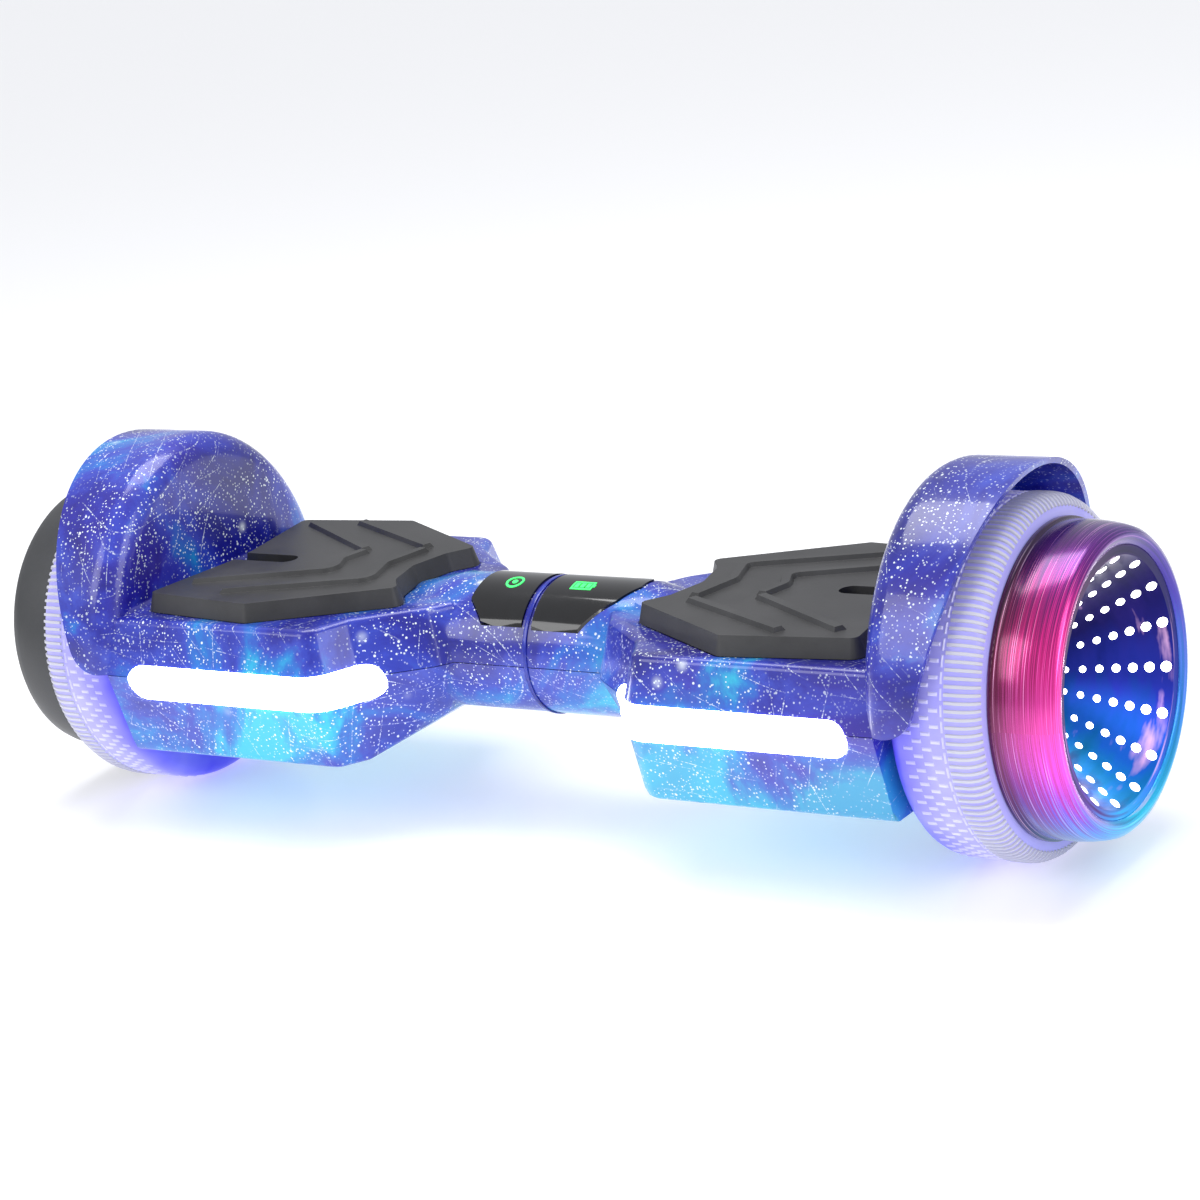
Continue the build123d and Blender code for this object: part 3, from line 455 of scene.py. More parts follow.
@dataclass(frozen=True)
class SpunChrome(Finish):
    """Tinted plating with the fine rings that turning leaves. Its colours around the axle are painted
    reflections of coloured light, with painted shade towards the wheel and a painted highlight on the bright
    rings.
    """

    # Stops of the painted reflections run from the front under the wheel, up the back and over the top to
    # the front again.
    around: Stops = (
        (0.0, "#ff4cc0"),
        (0.06, "#e64ae6"),
        (0.12, "#7a5cf2"),
        (0.18, "#22a4f4"),
        (0.28, "#12ccf4"),
        (0.42, "#2a86ea"),
        (0.56, "#3a2aa4"),
        (0.7, "#42188a"),
        (0.82, "#741c8c"),
        (0.92, "#ee1a8e"),
        (1.0, "#ff4cc0"),
    )
    # Colour of the painted highlight on the brightest rings.
    painted_highlight: str = "#ffc8f4"
    ring_width: float = 0.5
    # About how often the rings' brightness changes in one turn about the axle.
    ring_changes: float = 5.0
    # Distances from the middle of the board, in mm, between which the painted shade lifts and the tint
    # brightens.
    shade_lift_span: tuple[float, float] = (270.0, 297.0)
    # Share of the tint left where the painted shade is deepest.
    darkest_painted_shade: float = 0.1

    def paint(self, tree: Tree, shader: Node, place: Socket) -> None:
        """Painted reflections by the angle about the axle, broken by fine rings, with painted shade towards
        the wheel and a painted highlight on the bright rings.
        """
        centred = add_node(tree, "VectorMath", {0: place, 1: (0, 0, -AXLE_Z)}, operation="ADD")
        parts = add_node(tree, "SeparateXYZ", {0: centred.outputs[0]})
        flat = add_node(tree, "CombineXYZ", {0: parts.outputs[1], 1: parts.outputs[2]}).outputs[0]
        angle = add_node(tree, "TexGradient", {0: flat}, gradient_type="RADIAL").outputs["Fac"]
        reach = add_node(tree, "VectorMath", {0: flat}, operation="LENGTH").outputs["Value"]
        outward = maths(tree, "ABSOLUTE", parts.outputs[0])
        along = maths(tree, "SUBTRACT", outward, reach)
        squeezed = add_node(tree, "CombineXYZ", {0: along, 1: angle}).outputs[0]
        scale = (per_mm(self.ring_width), self.ring_changes, 1.0)
        stretched = add_node(tree, "Mapping", {"Vector": squeezed, "Scale": scale}).outputs[0]
        rings = add_node(tree, "TexNoise", {"Vector": stretched, "Scale": 1.0, "Detail": 4}).outputs[0]
        mixed = maths(tree, "ADD", angle, remap(tree, rings, (0.3, 0.7), (-0.06, 0.06)))
        # Painted reflections of coloured light, chosen by the angle about the axle.
        tint = add_node(tree, "ValToRGB", {0: mixed}, self.around).outputs[0]
        start, end = (x * MM for x in self.shade_lift_span)
        # Painted shade: darker towards the wheel on the barrel, towards the floor in the bowl.
        edge = remap(tree, outward, (start, end), (self.darkest_painted_shade, 1.0))
        depth = maths(tree, "MULTIPLY", remap(tree, rings, (0.32, 0.62), (0.35, 1.0)), edge)
        shaded = blend(tree, 1.0, tint, depth, "MULTIPLY")
        # Painted highlight on the brightest rings.
        final = blend(tree, remap(tree, rings, (0.6, 0.74), (0.0, 0.75)), shaded, srgb(self.painted_highlight))
        # The tint also feeds the glow: painted light on plating that is no lamp.
        feed(tree, final, shader, "Base Color", "Emission Color")
        self.relief(tree, shader, rings, 0.03, 0.3)


@dataclass(frozen=True)
class Glow(Finish):
    """Milky acrylic lit from behind: brightest where the lamps shine through."""

    hue: str = "#ffffff"
    unevenness: float = 0.12

    def paint(self, tree: Tree, shader: Node, place: Socket) -> None:
        """Glow that is a little uneven over the lamps."""
        shade = remap(tree, noise(tree, place, 12, 2), (0.3, 0.7), (1 - self.unevenness, 1.0))
        colour = blend(tree, 1.0, srgb(self.hue), shade, "MULTIPLY")
        feed(tree, colour, shader, "Emission Color", "Base Color")


@dataclass(frozen=True)
class WorkedMetal(Finish):
    """Cast, turned or plated metal: grain along one axis, with darker hollows."""

    base: str = "#9a9b9e"
    dark: str = "#6f7073"
    grain: tuple[float, float, float] = (0.8, 0.8, 0.8)
    depth: float = 0.05

    def paint(self, tree: Tree, shader: Node, place: Socket) -> None:
        """Grain stretched the way the metal was worked."""
        scale = tuple(per_mm(size) for size in self.grain)
        scaled = add_node(tree, "Mapping", {"Vector": place, "Scale": scale}).outputs[0]
        inputs = {"Vector": scaled, "Scale": 1.0, "Detail": 5, "Roughness": 0.65}
        grain = add_node(tree, "TexNoise", inputs).outputs[0]
        colour = add_node(tree, "ValToRGB", {0: grain}, ((0.3, self.dark), (0.65, self.base)))
        feed(tree, colour.outputs[0], shader, "Base Color")
        gloss = remap(tree, grain, (0.3, 0.7), (self.roughness - 0.08, self.roughness + 0.1))
        feed(tree, gloss, shader, "Roughness")
        self.relief(tree, shader, grain, self.depth, 0.4)


@dataclass(frozen=True)
class CircuitBoard(Finish):
    """Glass-epoxy board under solder mask: copper tracks show as paler lines, pads as dull gold."""

    mask: str = "#0d4a24"
    track: str = "#1c6b38"
    pad: str = "#b59a4e"
    pad_share: float = 0.17

    def paint(self, tree: Tree, shader: Node, place: Socket) -> None:
        """Straight tracks with pads between them."""
        inputs = {"Vector": place, "Scale": per_mm(14), "Mortar Size": 0.03}
        inputs.update(
            {"Color1": srgb(self.mask), "Color2": srgb(self.mask), "Mortar": srgb(self.track)}
        )
        tracks = add_node(tree, "TexBrick", inputs)
        pads = add_node(tree, "TexVoronoi", {"Vector": place, "Scale": per_mm(5), "Randomness": 0.4})
        held = maths(tree, "LESS_THAN", pads.outputs["Distance"], self.pad_share)
        colour = blend(tree, held, tracks.outputs[0], srgb(self.pad))
        feed(tree, colour, shader, "Base Color")
        self.relief(tree, shader, tracks.outputs["Fac"], 0.05, 0.5)


# Printed ABS shells under lacquer.
SHELL = SpacePrint("shell_printed_abs", roughness=0.3, ior=1.5, coat=0.6, coat_roughness=0.08)
# Natural rubber, satin from the mould.
MAT = MouldedRubber("mat_moulded_rubber", roughness=0.45, ior=1.52, base="#2f2f30", dusty="#434344")
# Its glow is painted light for the light that passes through the tyre.
TYRE = ClearTyre("tyre_tinted_polyurethane", roughness=0.34, ior=1.5, glow=0.12)
# The raised marks are thin, so they pass more light; their paler tint and their glow are painted light for
# it.
TYRE_DASH = ClearTyre(
    "tyre_dash_polyurethane", roughness=0.4, ior=1.5, pale="#dcdafe", deep="#9a94fa", glow=0.12
)
TYRE_RUNG = ClearTyre(
    "tyre_shoulder_polyurethane", roughness=0.45, ior=1.5, pale="#d2d2de", deep="#bcbcd4"
)
NECK_RING = GlossPlastic("ring_blue_abs", roughness=0.2, coat=0.4, base="#120c80", worn="#1a3cc4")
PANEL = GlossPlastic("panel_black_acrylic", roughness=0.06, ior=1.49, coat=0.6)
# Its glow is painted light: the plated cap is no lamp.
BARREL = SpunChrome(
    "cap_plated_abs", roughness=0.24, metallic=0.7, coat=0.6, coat_roughness=0.14, glow=0.35
)
# The left cap is plain charcoal, moulded and satin.
DARK_BARREL = MouldedRubber("cap_charcoal_abs", roughness=0.4, base="#37383a", dusty="#434446", grain=1.4)
# Its glow is painted light: the plated bowl is no lamp; its lamps are the windows.
BOWL = SpunChrome(
    "bowl_plated_abs",
    roughness=0.35,
    metallic=1.0,
    glow=0.5,
    # The bowl's painted reflections of coloured light, by the angle about the axle.
    around=(
        (0.0, "#2a1a66"),
        (0.12, "#5a2aa0"),
        (0.24, "#189ee8"),
        (0.34, "#1c62cc"),
        (0.45, "#24309a"),
        (0.56, "#1c1a5c"),
        (0.7, "#24144e"),
        (0.82, "#3e164c"),
        (1.0, "#2a1a66"),
    ),
    ring_width=2.2,
    # Painted shade deepens towards the bowl's floor.
    shade_lift_span=(256.0, 285.0),
    darkest_painted_shade=0.6,
)
STRIP = Glow("strip_milky_acrylic", roughness=0.3, glow=8.0)
LAMP_DOT = Glow("lamp_window_acrylic", roughness=0.2, glow=7.0, unevenness=0.0)
ICON = Glow("icon_green_print", roughness=0.3, glow=2.2, hue="#35e060")
BLACK_ABS = MouldedRubber("fitting_black_abs", roughness=0.5, base="#121213", dusty="#232325", grain=0.9)
SHEATH = MouldedRubber("cable_rubber_sheath", roughness=0.55, base="#141415", dusty="#2a2a2b", grain=0.6)
CAST_ALLOY = WorkedMetal("frame_cast_aluminium", roughness=0.5, metallic=1.0, base="#a6a7aa", dark="#77787b")
TURNED_ALLOY = WorkedMetal(
    "rim_turned_aluminium", roughness=0.32, metallic=1.0, base="#b4b5b8", dark="#7d7e82", grain=(0.5, 6, 6)
)
GROUND_STEEL = WorkedMetal(
    "shaft_ground_steel",
    roughness=0.25,
    metallic=1.0,
    base="#c2c3c6",
    dark="#8f9094",
    grain=(0.4, 5, 5),
    depth=0.02,
)
BLACK_STEEL = WorkedMetal(
    "screw_blackened_steel",
    roughness=0.4,
    metallic=1.0,
    base="#3a3a3c",
    dark="#1c1c1e",
    grain=(0.6, 0.6, 0.6),
)
MAGNET = WorkedMetal("magnet_nickel_plate", roughness=0.3, metallic=1.0, base="#a9aaa6", dark="#7f807d")
WINDING = WorkedMetal(
    "stator_enamelled_copper",
    roughness=0.35,
    metallic=1.0,
    base="#b5562a",
    dark="#5d2a14",
    grain=(9, 0.5, 0.5),
    depth=0.2,
)
BRONZE = WorkedMetal("bush_sintered_bronze", roughness=0.45, metallic=1.0, base="#a9783f", dark="#6e4a22")
BATTERY = GlossPlastic("battery_blue_film", roughness=0.25, base="#123a86", worn="#1a4da6")
BOARD = CircuitBoard("board_green_epoxy", roughness=0.35, ior=1.55)

NODE_FINISHES: dict[str, Finish] = {
    "axle": GROUND_STEEL,
    "axle_clamp": CAST_ALLOY,
    "battery_pack": BATTERY,
    "charge_port": BLACK_ABS,
    "chassis": CAST_ALLOY,
    "clamp_screws": BLACK_STEEL,
    "cover_screws": BLACK_STEEL,
    "display_board": BOARD,
    "gyro_board": BOARD,
    "inner_motor_cover": TURNED_ALLOY,
    "lamp_board": BOARD,
    "light_board": BOARD,
    "link_cable": SHEATH,
    "magnets": MAGNET,
    "main_board": BOARD,
    "motor_lead": SHEATH,
    "outer_motor_cover": TURNED_ALLOY,
    "pivot_bushes": BRONZE,
    "pivot_retaining_ring": BLACK_STEEL,
    "pivot_tube": GROUND_STEEL,
    "power_button": BLACK_ABS,
    "rim": TURNED_ALLOY,
    "shell_screws": BLACK_STEEL,
    "speaker": BLACK_ABS,
    "stator": WINDING,
    "wheel_bearings": GROUND_STEEL,
}


# ---- Mesh tools --------------------------------------------------------------------------------


def place_piece(
    mesh_data: bmesh.types.BMesh,
    name: str,
    finish: Finish,
    body: str,
    stands_for: Sequence[str] = (),
    sharp_deg: float = 35.0,
) -> bpy.types.Object:
    """Turn a bmesh into a finished piece of the object.

    Args:
        mesh_data: The shape, which is freed.
        name: Name of the new object.
        finish: Its surface.
        body: Body that it rides on.
        stands_for: Nodes that it replaces.
        sharp_deg: Corners above this many degrees stay sharp.

    Returns:
        The new object.
    """
    mesh = bpy.data.meshes.new(name)
    mesh_data.to_mesh(mesh)
    mesh_data.free()
    mesh.shade_smooth()
    mesh.set_sharp_from_angle(angle=math.radians(sharp_deg))
    mesh.materials.append(finish.material())
    piece = bpy.data.objects.new(name, mesh)
    bpy.context.scene.collection.objects.link(piece)
    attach(piece, body)
    if stands_for:
        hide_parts(*stands_for)
    LOG.info("%s: %d faces on %s", name, len(mesh.polygons), body)
    return piece


def merged_copy(node: str, round_edge: float = 0.0, sharp_deg: float = 25.0) -> bmesh.types.BMesh:
    """Copy a node's mesh with its doubles merged, and round its sharp edges if asked.

    Args:
        node: Name of the node.
        round_edge: Width of the rounding in metres, or 0 for none.
        sharp_deg: Edges above this many degrees are rounded.

    Returns:
        The copy as a bmesh.
    """
    copy = bmesh.new()
    copy.from_mesh(FRAME["nodes"][node].data)
    bmesh.ops.remove_doubles(copy, verts=copy.verts, dist=MERGE_DISTANCE)
    if round_edge:
        bmesh.ops.dissolve_limit(
            copy, angle_limit=math.radians(0.4), verts=copy.verts, edges=copy.edges, delimit={"NORMAL"}
        )
        round_edges(copy, round_edge, sharp_deg)
    return copy


def spun(
    profile: Sequence[tuple[float, float]], side: Side, segments: int = ROUND_STEPS
) -> bmesh.types.BMesh:
    """Turn a closed profile about the axle.

    Args:
        profile: (x, radius) pairs in millimetres for the right-hand side.
        side: Half that the shape is for; the left one is mirrored.
        segments: Steps in the full turn.

    Returns:
        The turned shape with its normals outwards.
    """
    shape = bmesh.new()
    points = [
        shape.verts.new((side.value * x * MM, 0, AXLE_Z + radius * MM)) for x, radius in profile
    ]
    lines = [shape.edges.new(pair) for pair in zip(points, points[1:])]
    lines.append(shape.edges.new((points[-1], points[0])))
    bmesh.ops.spin(
        shape,
        geom=points + lines,
        cent=AXLE_CENTRE,
        axis=(1, 0, 0),
        angle=math.tau,
        steps=segments,
        use_merge=True,
    )
    bmesh.ops.remove_doubles(shape, verts=shape.verts, dist=MERGE_DISTANCE)
    bmesh.ops.recalc_face_normals(shape, faces=shape.faces)
    return shape


def round_edges(shape: bmesh.types.BMesh, width: float, sharp_deg: float) -> None:
    """Round the sharp edges of a shape.

    Args:
        shape: The shape, which is changed.
        width: Width of the rounding in metres.
        sharp_deg: Edges above this many degrees are rounded.
    """
    sharp = [edge for edge in shape.edges if edge.calc_face_angle(0.0) > math.radians(sharp_deg)]
    bmesh.ops.bevel(
        shape,
        geom=sharp,
        offset=width,
        offset_type="OFFSET",
        segments=3,
        profile=0.5,
        affect="EDGES",
        clamp_overlap=True,
        material=-1,
    )


def radius_of(point: Vector) -> float:
    """Distance of a point from the axle line."""
    return math.hypot(point.y, point.z - AXLE_Z)


def even_normals(piece: bpy.types.Object) -> None:
    """Let a piece's large faces set its shading, so that they look flat."""
    weighted = piece.modifiers.new("even_normals", "WEIGHTED_NORMAL")
    weighted.keep_sharp = True


# ---- Wheels ------------------------------------------------------------------------------------


class Tread(Enum):
    """What a row of the tread carries."""

    SMOOTH = 0
    DASHES = 1
    LINE = 2
    RUNGS = 3


# Width in mm and kind of each row, from the body side to the cap side.
TREAD_ROWS = (
    (4.6, Tread.DASHES),
    (4.6, Tread.DASHES),
    (4.6, Tread.DASHES),
    (4.6, Tread.DASHES),
    (1.0, Tread.SMOOTH),
    (1.1, Tread.LINE),
    (1.0, Tread.SMOOTH),
    (6.5, Tread.RUNGS),
)


@dataclass
class Wheel:
    """One hub-motor wheel: treaded tyre, plated barrel cap and its bowl of lamps. Sizes in millimetres."""

    side: Side
    inner_x: float = 223.5
    outer_x: float = 269.5
    radius: float = 84.0
    bore: float = 66.0
    shoulder: float = 9.0
    shoulder_steps: int = 5
    tread_depth: float = 0.9
    tread_steps: int = 288
    # Steps around the tyre from one dash to the next, then how far its top is drawn in and raised.
    dash_pitch: int = 4
    dash_inset: float = 0.45
    dash_height: float = 0.5
    rung_pitch: int = 2
    rung_inset: float = 0.3
    # Faces whose middle is this far below the tread are on a shoulder.
    tread_slack: float = 0.2
    cap_rounding: float = 0.45
    bowl_mouth: tuple[float, float] = (298.6, 57.0)
    bowl_floor: tuple[float, float] = (256.4, 22.5)
    lamp_rings: int = 7
    lamps_in_ring: int = 16
    # Place of the first ring and the step to the next, as shares of the wall from mouth to floor.
    first_ring_share: float = 0.065
    ring_step_share: float = 0.143
    # Radius of a window in the first ring, and how much smaller it gets with each ring.
    lamp_radius: float = 3.0
    lamp_shrink: float = 0.23
    lamp_height: float = 0.7
    lamp_top_share: float = 0.72
    lamp_sides: int = 14

    @property
    def body(self) -> str:
        """Body that the wheel's pieces ride on."""
        return f"{self.side.label}_wheel"

    def build(self) -> None:
        """Make every piece of the wheel."""
        self.tyre()
        self.barrel()
        self.bowl()
        self.lamps()

    def tyre(self) -> None:
        """Solid tyre: rows of raised dashes, a broken line, then rungs that run over the outer shoulder."""
        low_r = self.radius - self.tread_depth
        corner_r = self.radius - self.shoulder
        steps = range(self.shoulder_steps + 1)
        arc = [math.radians(90 * step / self.shoulder_steps) for step in steps]
        reach = low_r - corner_r
        curve = [(self.shoulder * (1 - math.sin(a)), corner_r + reach * math.cos(a)) for a in arc]
        inner = [(self.inner_x + inset, radius) for inset, radius in reversed(curve)]
        outer = [(self.outer_x - inset, radius) for inset, radius in curve]
        edges = [self.inner_x + self.shoulder]
        for width, _ in TREAD_ROWS:
            edges.append(edges[-1] + width)
        middle = [(x, low_r) for x in edges[1:-1]]
        profile = [(self.inner_x, self.bore)] + inner + middle + outer + [(self.outer_x, self.bore)]
        shape = spun(profile, self.side, self.tread_steps)
        dashes, rungs = [], []
        last_rung_r = curve[-2][1]
        for face in shape.faces:
            centre = face.calc_center_median()
            turn = math.atan2(centre.y, centre.z - AXLE_Z) / math.tau * self.tread_steps
            column = math.floor(turn)
            across = abs(centre.x) / MM
            on_rung = column % self.rung_pitch == 0
            if radius_of(centre) < (low_r - self.tread_slack) * MM:
                if across > edges[-1] and radius_of(centre) > last_rung_r * MM and on_rung:
                    rungs.append(face)
                continue
            for row, (low, high) in enumerate(zip(edges, edges[1:])):
                kind = TREAD_ROWS[row][1]
                if not low < across < high:
                    continue
                # Each row of dashes is shifted by half a pitch against the one before.
                shifted = column + self.dash_pitch // 2 * row
                if kind is Tread.DASHES and shifted % self.dash_pitch == 0:
                    dashes.append(face)
                if kind is Tread.LINE and column % self.dash_pitch != 0:
                    dashes.append(face)
                if kind is Tread.RUNGS and on_rung:
                    rungs.append(face)
        # The finishes of the dashes and the rungs join the tyre below, in slots 1 and 2.
        for face in dashes:
            face.material_index = 1
        for face in rungs:
            face.material_index = 2
        bmesh.ops.inset_region(
            shape,
            faces=dashes,
            thickness=self.dash_inset * MM,
            depth=self.dash_height * MM,
            use_even_offset=True,
            use_boundary=True,
        )
        bmesh.ops.inset_region(
            shape,
            faces=rungs,
            thickness=self.rung_inset * MM,
            depth=self.tread_depth * MM,
            use_even_offset=True,
        )
        label = self.side.label
        tyre = place_piece(
            shape,
            f"{label}_tread_tyre",
            TYRE,
            self.body,
            [f"{label}_tyre"],
            sharp_deg=30,
        )
        for finish in (TYRE_DASH, TYRE_RUNG):
            tyre.data.materials.append(finish.material())

    def barrel(self) -> None:
        """Barrel-shaped cap with a rolled lip."""
        base = self.outer_x + 0.2
        profile = [
            (262.0, 58.5),
            (262.0, 61.0),
            (267.0, 61.0),
            (267.0, 65.6),
            (base, 65.6),
            (base, 73.4),
            (base + 2.4, 73.4),
            (base + 3.4, 72.0),
            (278.0, 72.2),
            (284.0, 72.2),
            (290.0, 71.7),
            (295.0, 70.9),
            (298.6, 69.9),
            (300.8, 68.0),
            (301.5, 66.0),
            (301.0, 64.0),
            (299.4, 61.6),
            (297.0, 61.6),
            (297.0, 66.4),
            (284.0, 68.8),
            (273.7, 69.6),
            (271.9, 63.0),
            (base, 58.5),
        ]
        shape = spun(profile, self.side)
        round_edges(shape, self.cap_rounding * MM, 30)
        finish = BARREL if self.side is Side.RIGHT else DARK_BARREL
        label = self.side.label
        place_piece(
            shape,
            f"{label}_barrel_cap",
            finish,
            self.body,
            [f"{label}_hub_cap"],
            sharp_deg=60,
        )

    def bowl(self) -> None:
        """Conical bowl inside the cap, with a flat floor."""
        mouth_x, mouth_r = self.bowl_mouth
        floor_x, floor_r = self.bowl_floor
        profile = [
            (297.0, 66.0),
            (297.0, 61.4),
            (299.0, 61.4),
            (mouth_x, mouth_r),
            (floor_x + 1.2, floor_r + 1.0),
            (floor_x, floor_r - 1.5),
            (floor_x, 0.0),
            (floor_x - 1.6, 0.0),
            (floor_x - 1.6, floor_r + 1.0),
            (mouth_x - 3.2, mouth_r + 1.2),
            (295.4, 66.0),
        ]
        shape = spun(profile, self.side)
        label = self.side.label
        place_piece(
            shape,
            f"{label}_lamp_bowl",
            BOWL,
            self.body,
            [f"{label}_lamp_dish"],
            sharp_deg=40,
        )

    def lamps(self) -> None:
        """Raised round windows in rings down the wall of the bowl, smaller towards its floor."""
        mouth = Vector(self.bowl_mouth)
        floor = Vector(self.bowl_floor)
        slope = floor - mouth
        # The windows' axis points from the wall towards the mouth and the axle.
        lean = math.atan2(-slope.y, slope.x)
        shape = bmesh.new()
        for ring in range(self.lamp_rings):
            spot = mouth + slope * (self.first_ring_share + self.ring_step_share * ring)
            size = (self.lamp_radius - self.lamp_shrink * ring) * MM
            for lamp in range(self.lamps_in_ring):
                turn = math.tau * (lamp + 0.5) / self.lamps_in_ring
                seat = (
                    Matrix.Translation(AXLE_CENTRE)
                    @ Matrix.Rotation(turn, 4, "X")
                    @ Matrix.Translation((spot.x * MM, 0, spot.y * MM))
                    @ Matrix.Rotation(lean, 4, "Y")
                )
                bmesh.ops.create_cone(
                    shape,
                    cap_ends=True,
                    segments=self.lamp_sides,
                    radius1=size,
                    radius2=size * self.lamp_top_share,
                    depth=self.lamp_height * MM,
                    matrix=seat,
                )
        if self.side is Side.LEFT:
            bmesh.ops.scale(shape, vec=(-1, 1, 1), verts=shape.verts)
            bmesh.ops.reverse_faces(shape, faces=shape.faces)
        name = f"{self.side.label}_lamp_windows"
        place_piece(shape, name, LAMP_DOT, self.body, sharp_deg=50)


# ---- Half bodies -------------------------------------------------------------------------------


@dataclass
class HalfBody:
    """One half: printed shells, rubber foot mat, display panel and light strip. Sizes in millimetres."""

    side: Side
    mat_rounding: float = 0.9
    # Lift of an icon off the panel's curve, and its thickness.
    icon_lift: float = 0.25
    icon_thickness: float = 0.2
    ring_half_width: float = 1.1
    ring_radii: tuple[float, float] = (33.75, 34.4)
    ring_rounding: float = 0.35

    @property
    def body(self) -> str:
        """Body that the half's pieces ride on."""
        return f"{self.side.label}_half"

    def build(self) -> None:
        """Make every piece of the half."""
        self.shells()
        self.mat()
        self.panel()
        self.strip()
        if self.side is Side.LEFT:
            self.neck_ring()

    def neck_ring(self) -> None:
        """Thin trim ring that closes the joint between the two necks; the left half carries it."""
        half = self.ring_half_width
        low, high = self.ring_radii
        shape = spun([(-half, low), (-half, high), (half, high), (half, low)], Side.RIGHT)
        round_edges(shape, self.ring_rounding * MM, 40)
        place_piece(
            shape, "neck_trim_ring", NECK_RING, self.body, sharp_deg=40
        )

    def shells(self) -> None:
        """Upper and lower casings."""
        for part in ("top_shell", "bottom_shell"):
            node = f"{self.side.label}_{part}"
            name = f"{node}_printed"
            piece = place_piece(
                merged_copy(node), name, SHELL, self.body, [node], sharp_deg=24
            )
            even_normals(piece)

    def mat(self) -> None:
        """Foot mat with moulded, rounded ribs."""
        node = f"{self.side.label}_foot_mat"
        shape = merged_copy(node, self.mat_rounding * MM, 20)
        body = f"{self.side.label}_mat"
        piece = place_piece(
            shape, f"{node}_moulded", MAT, body, [node], sharp_deg=40
        )
        even_normals(piece)

    def panel(self) -> None:
        """Gloss display panel and its lit icon."""
        node = f"{self.side.label}_display_panel"
        cover = merged_copy(node)
        place_piece(
            cover, f"{node}_gloss", PANEL, self.body, [node], sharp_deg=40
        )
        shape = self.battery_icon() if self.side is Side.RIGHT else self.power_icon()
        lifted = PANEL_RADIUS + self.icon_lift * MM
        bmesh.ops.solidify(shape, geom=shape.faces[:], thickness=self.icon_thickness * MM)
        for vertex in shape.verts:
            vertex.co.z += AXLE_Z + math.sqrt(lifted**2 - vertex.co.y**2)
        bmesh.ops.recalc_face_normals(shape, faces=shape.faces)
        name = f"{self.side.label}_lit_icon"
        place_piece(shape, name, ICON, self.body, sharp_deg=30)

    @staticmethod
    def bar(shape: bmesh.types.BMesh, centre: tuple[float, float], size: tuple[float, float]) -> None:
        """Add a flat rectangle.

        Args:
            shape: The bmesh that it joins.
            centre: X and Y of its middle, in millimetres.
            size: Its lengths along X and Y, in millimetres.
        """
        seat = Matrix.Translation((centre[0] * MM, centre[1] * MM, 0)) @ Matrix.Diagonal(
            (size[0] * MM, size[1] * MM, 1, 1)
        )
        bmesh.ops.create_grid(shape, x_segments=1, y_segments=4, size=0.5, matrix=seat)

    def battery_icon(self) -> bmesh.types.BMesh:
        """Outline of a cell with charge bars."""
        shape = bmesh.new()
        x, y = 22.0, -8.0
        wide, high, line = 12.0, 6.6, 0.9
        terminal, terminal_step = (0.8, 2.0), 0.6
        charge, charge_step = (2.3, high - 3.4 * line), 3.3
        for side in (-1, 1):
            self.bar(shape, (x, y + side * (high - line) / 2), (wide, line))
            self.bar(shape, (x + side * (wide - line) / 2, y), (line, high - 2 * line))
        self.bar(shape, (x + wide / 2 + terminal_step, y), terminal)
        for place in (-1, 0, 1):
            self.bar(shape, (x + place * charge_step, y), charge)
        return shape

    def power_icon(self) -> bmesh.types.BMesh:
        """Round ring with a dot in it."""
        shape = bmesh.new()
        middle = Matrix.Translation((-18 * MM, -8 * MM, 0))
        radius, line, dot_radius = 4.8 * MM, 1.1 * MM, 1.5 * MM
        bmesh.ops.create_circle(shape, cap_ends=True, segments=32, radius=radius, matrix=middle)
        bmesh.ops.inset_individual(shape, faces=shape.faces[:], thickness=line, depth=0)
        # The ring's faces have four corners; the disc inside it has more.
        hollow = [face for face in shape.faces if len(face.verts) > 4]
        bmesh.ops.delete(shape, geom=hollow, context="FACES_ONLY")
        bmesh.ops.create_circle(shape, cap_ends=True, segments=16, radius=dot_radius, matrix=middle)
        return shape

    def strip(self) -> None:
        """Milky light strip along the front of the seam."""
        node = f"{self.side.label}_light_lens"
        shape = merged_copy(node)
        place_piece(
            shape, f"{node}_lit", STRIP, self.body, [node], sharp_deg=40
        )


@dataclass
class Workings:
    """Every node that keeps its own mesh: frame, motors, boards, cables and fasteners."""

    finishes: dict[str, Finish] = field(default_factory=lambda: dict(NODE_FINISHES))

    def build(self) -> None:
        """Give each node the finish of what it is."""
        for name, item in FRAME["nodes"].items():
            if item.hide_render:
                continue
            plain = name.removeprefix("left_").removeprefix("right_")
            item.data.materials.clear()
            item.data.materials.append(self.finishes[plain].material())
            LOG.info("%s: %s", name, self.finishes[plain].name)


# ---- Studio ------------------------------------------------------------------------------------


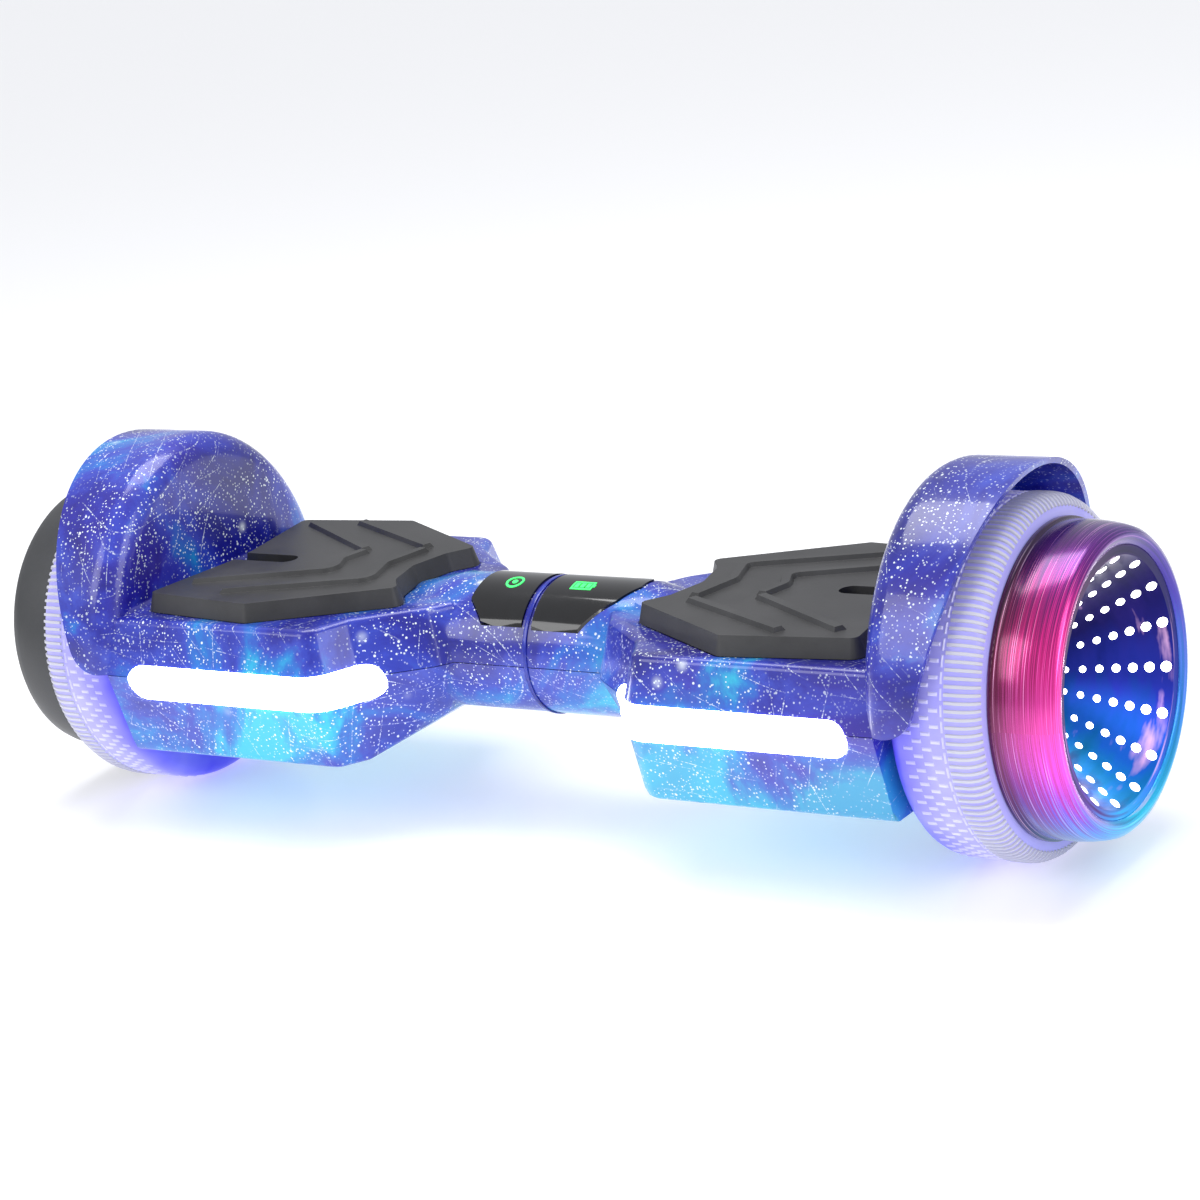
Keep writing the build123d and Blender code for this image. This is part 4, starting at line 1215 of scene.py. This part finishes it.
@dataclass
class Studio:
    """Camera, pale floor and soft light."""

    camera_place: tuple[float, float, float] = (0.9555, -1.3341, 0.5810)
    yaw: float = 0.609
    pitch: float = 0.283
    roll: float = -0.132
    lens: float = 104.7
    floor_size: float = 12.0
    surround: str = "#f4f6fb"
    surround_strength: float = 0.62

    def build(self) -> None:
        """Set up the whole studio."""
        self.camera()
        self.floor()
        self.lights()

    def camera(self) -> None:
        """Camera in front of the board, to the right and above it, tilted a little."""
        data = bpy.data.cameras.new("viewer")
        data.sensor_width = 36.0
        data.lens = self.lens
        data.clip_end = 30.0
        ahead = Vector(
            (
                -math.sin(self.yaw) * math.cos(self.pitch),
                math.cos(self.yaw) * math.cos(self.pitch),
                -math.sin(self.pitch),
            )
        )
        level = Vector((math.cos(self.yaw), math.sin(self.yaw), 0))
        over = level.cross(ahead)
        right = level * math.cos(self.roll) + over * math.sin(self.roll)
        up = over * math.cos(self.roll) - level * math.sin(self.roll)
        turned = Matrix((right, up, -ahead)).transposed().to_4x4()
        viewer = bpy.data.objects.new("viewer", data)
        viewer.matrix_world = Matrix.Translation(self.camera_place) @ turned
        bpy.context.scene.collection.objects.link(viewer)
        bpy.context.scene.camera = viewer

    def floor(self) -> None:
        """Wide plain floor."""
        shape = bmesh.new()
        bmesh.ops.create_grid(shape, x_segments=1, y_segments=1, size=self.floor_size / 2)
        mesh = bpy.data.meshes.new("studio_floor")
        shape.to_mesh(mesh)
        shape.free()
        card = PlainCard("floor_satin_card", roughness=0.22, glow=0.36)
        mesh.materials.append(card.material())
        floor = bpy.data.objects.new("studio_floor", mesh)
        bpy.context.scene.collection.objects.link(floor)

    def lights(self) -> None:
        """Large soft boxes above and to the sides, and an even surround."""
        world = bpy.data.worlds.new("surround")
        world.use_nodes = True
        sky = world.node_tree.nodes["Background"].inputs
        sky["Color"].default_value = srgb(self.surround)
        sky["Strength"].default_value = self.surround_strength
        bpy.context.scene.world = world
        bpy.context.scene.view_settings.view_transform = "Standard"
        # Name, place, width, height and watts of each box; all face the middle of the board.
        boxes = (
            ("overhead_box", (-0.1, 0.25, 1.5), 1.4, 0.7, 15),
            ("front_box", (-0.9, -1.5, 1.1), 1.0, 1.0, 10),
            ("right_box", (1.7, -0.3, 0.8), 0.7, 1.2, 7),
        )
        for name, place, width, height, watts in boxes:
            data = bpy.data.lights.new(name, "AREA")
            data.shape = "RECTANGLE"
            data.size = width
            data.size_y = height
            data.energy = watts
            lamp = bpy.data.objects.new(name, data)
            facing = (AXLE_CENTRE - Vector(place)).to_track_quat("-Z", "Y")
            lamp.matrix_world = Matrix.Translation(place) @ facing.to_matrix().to_4x4()
            bpy.context.scene.collection.objects.link(lamp)


def main() -> None:
    """Build the studio, both wheels, both halves and the workings."""
    logging.basicConfig(level=logging.INFO, format="%(name)s: %(message)s")
    Studio().build()
    for side in Side:
        Wheel(side).build()
        HalfBody(side).build()
    Workings().build()


if __name__ == "__main__":
    main()
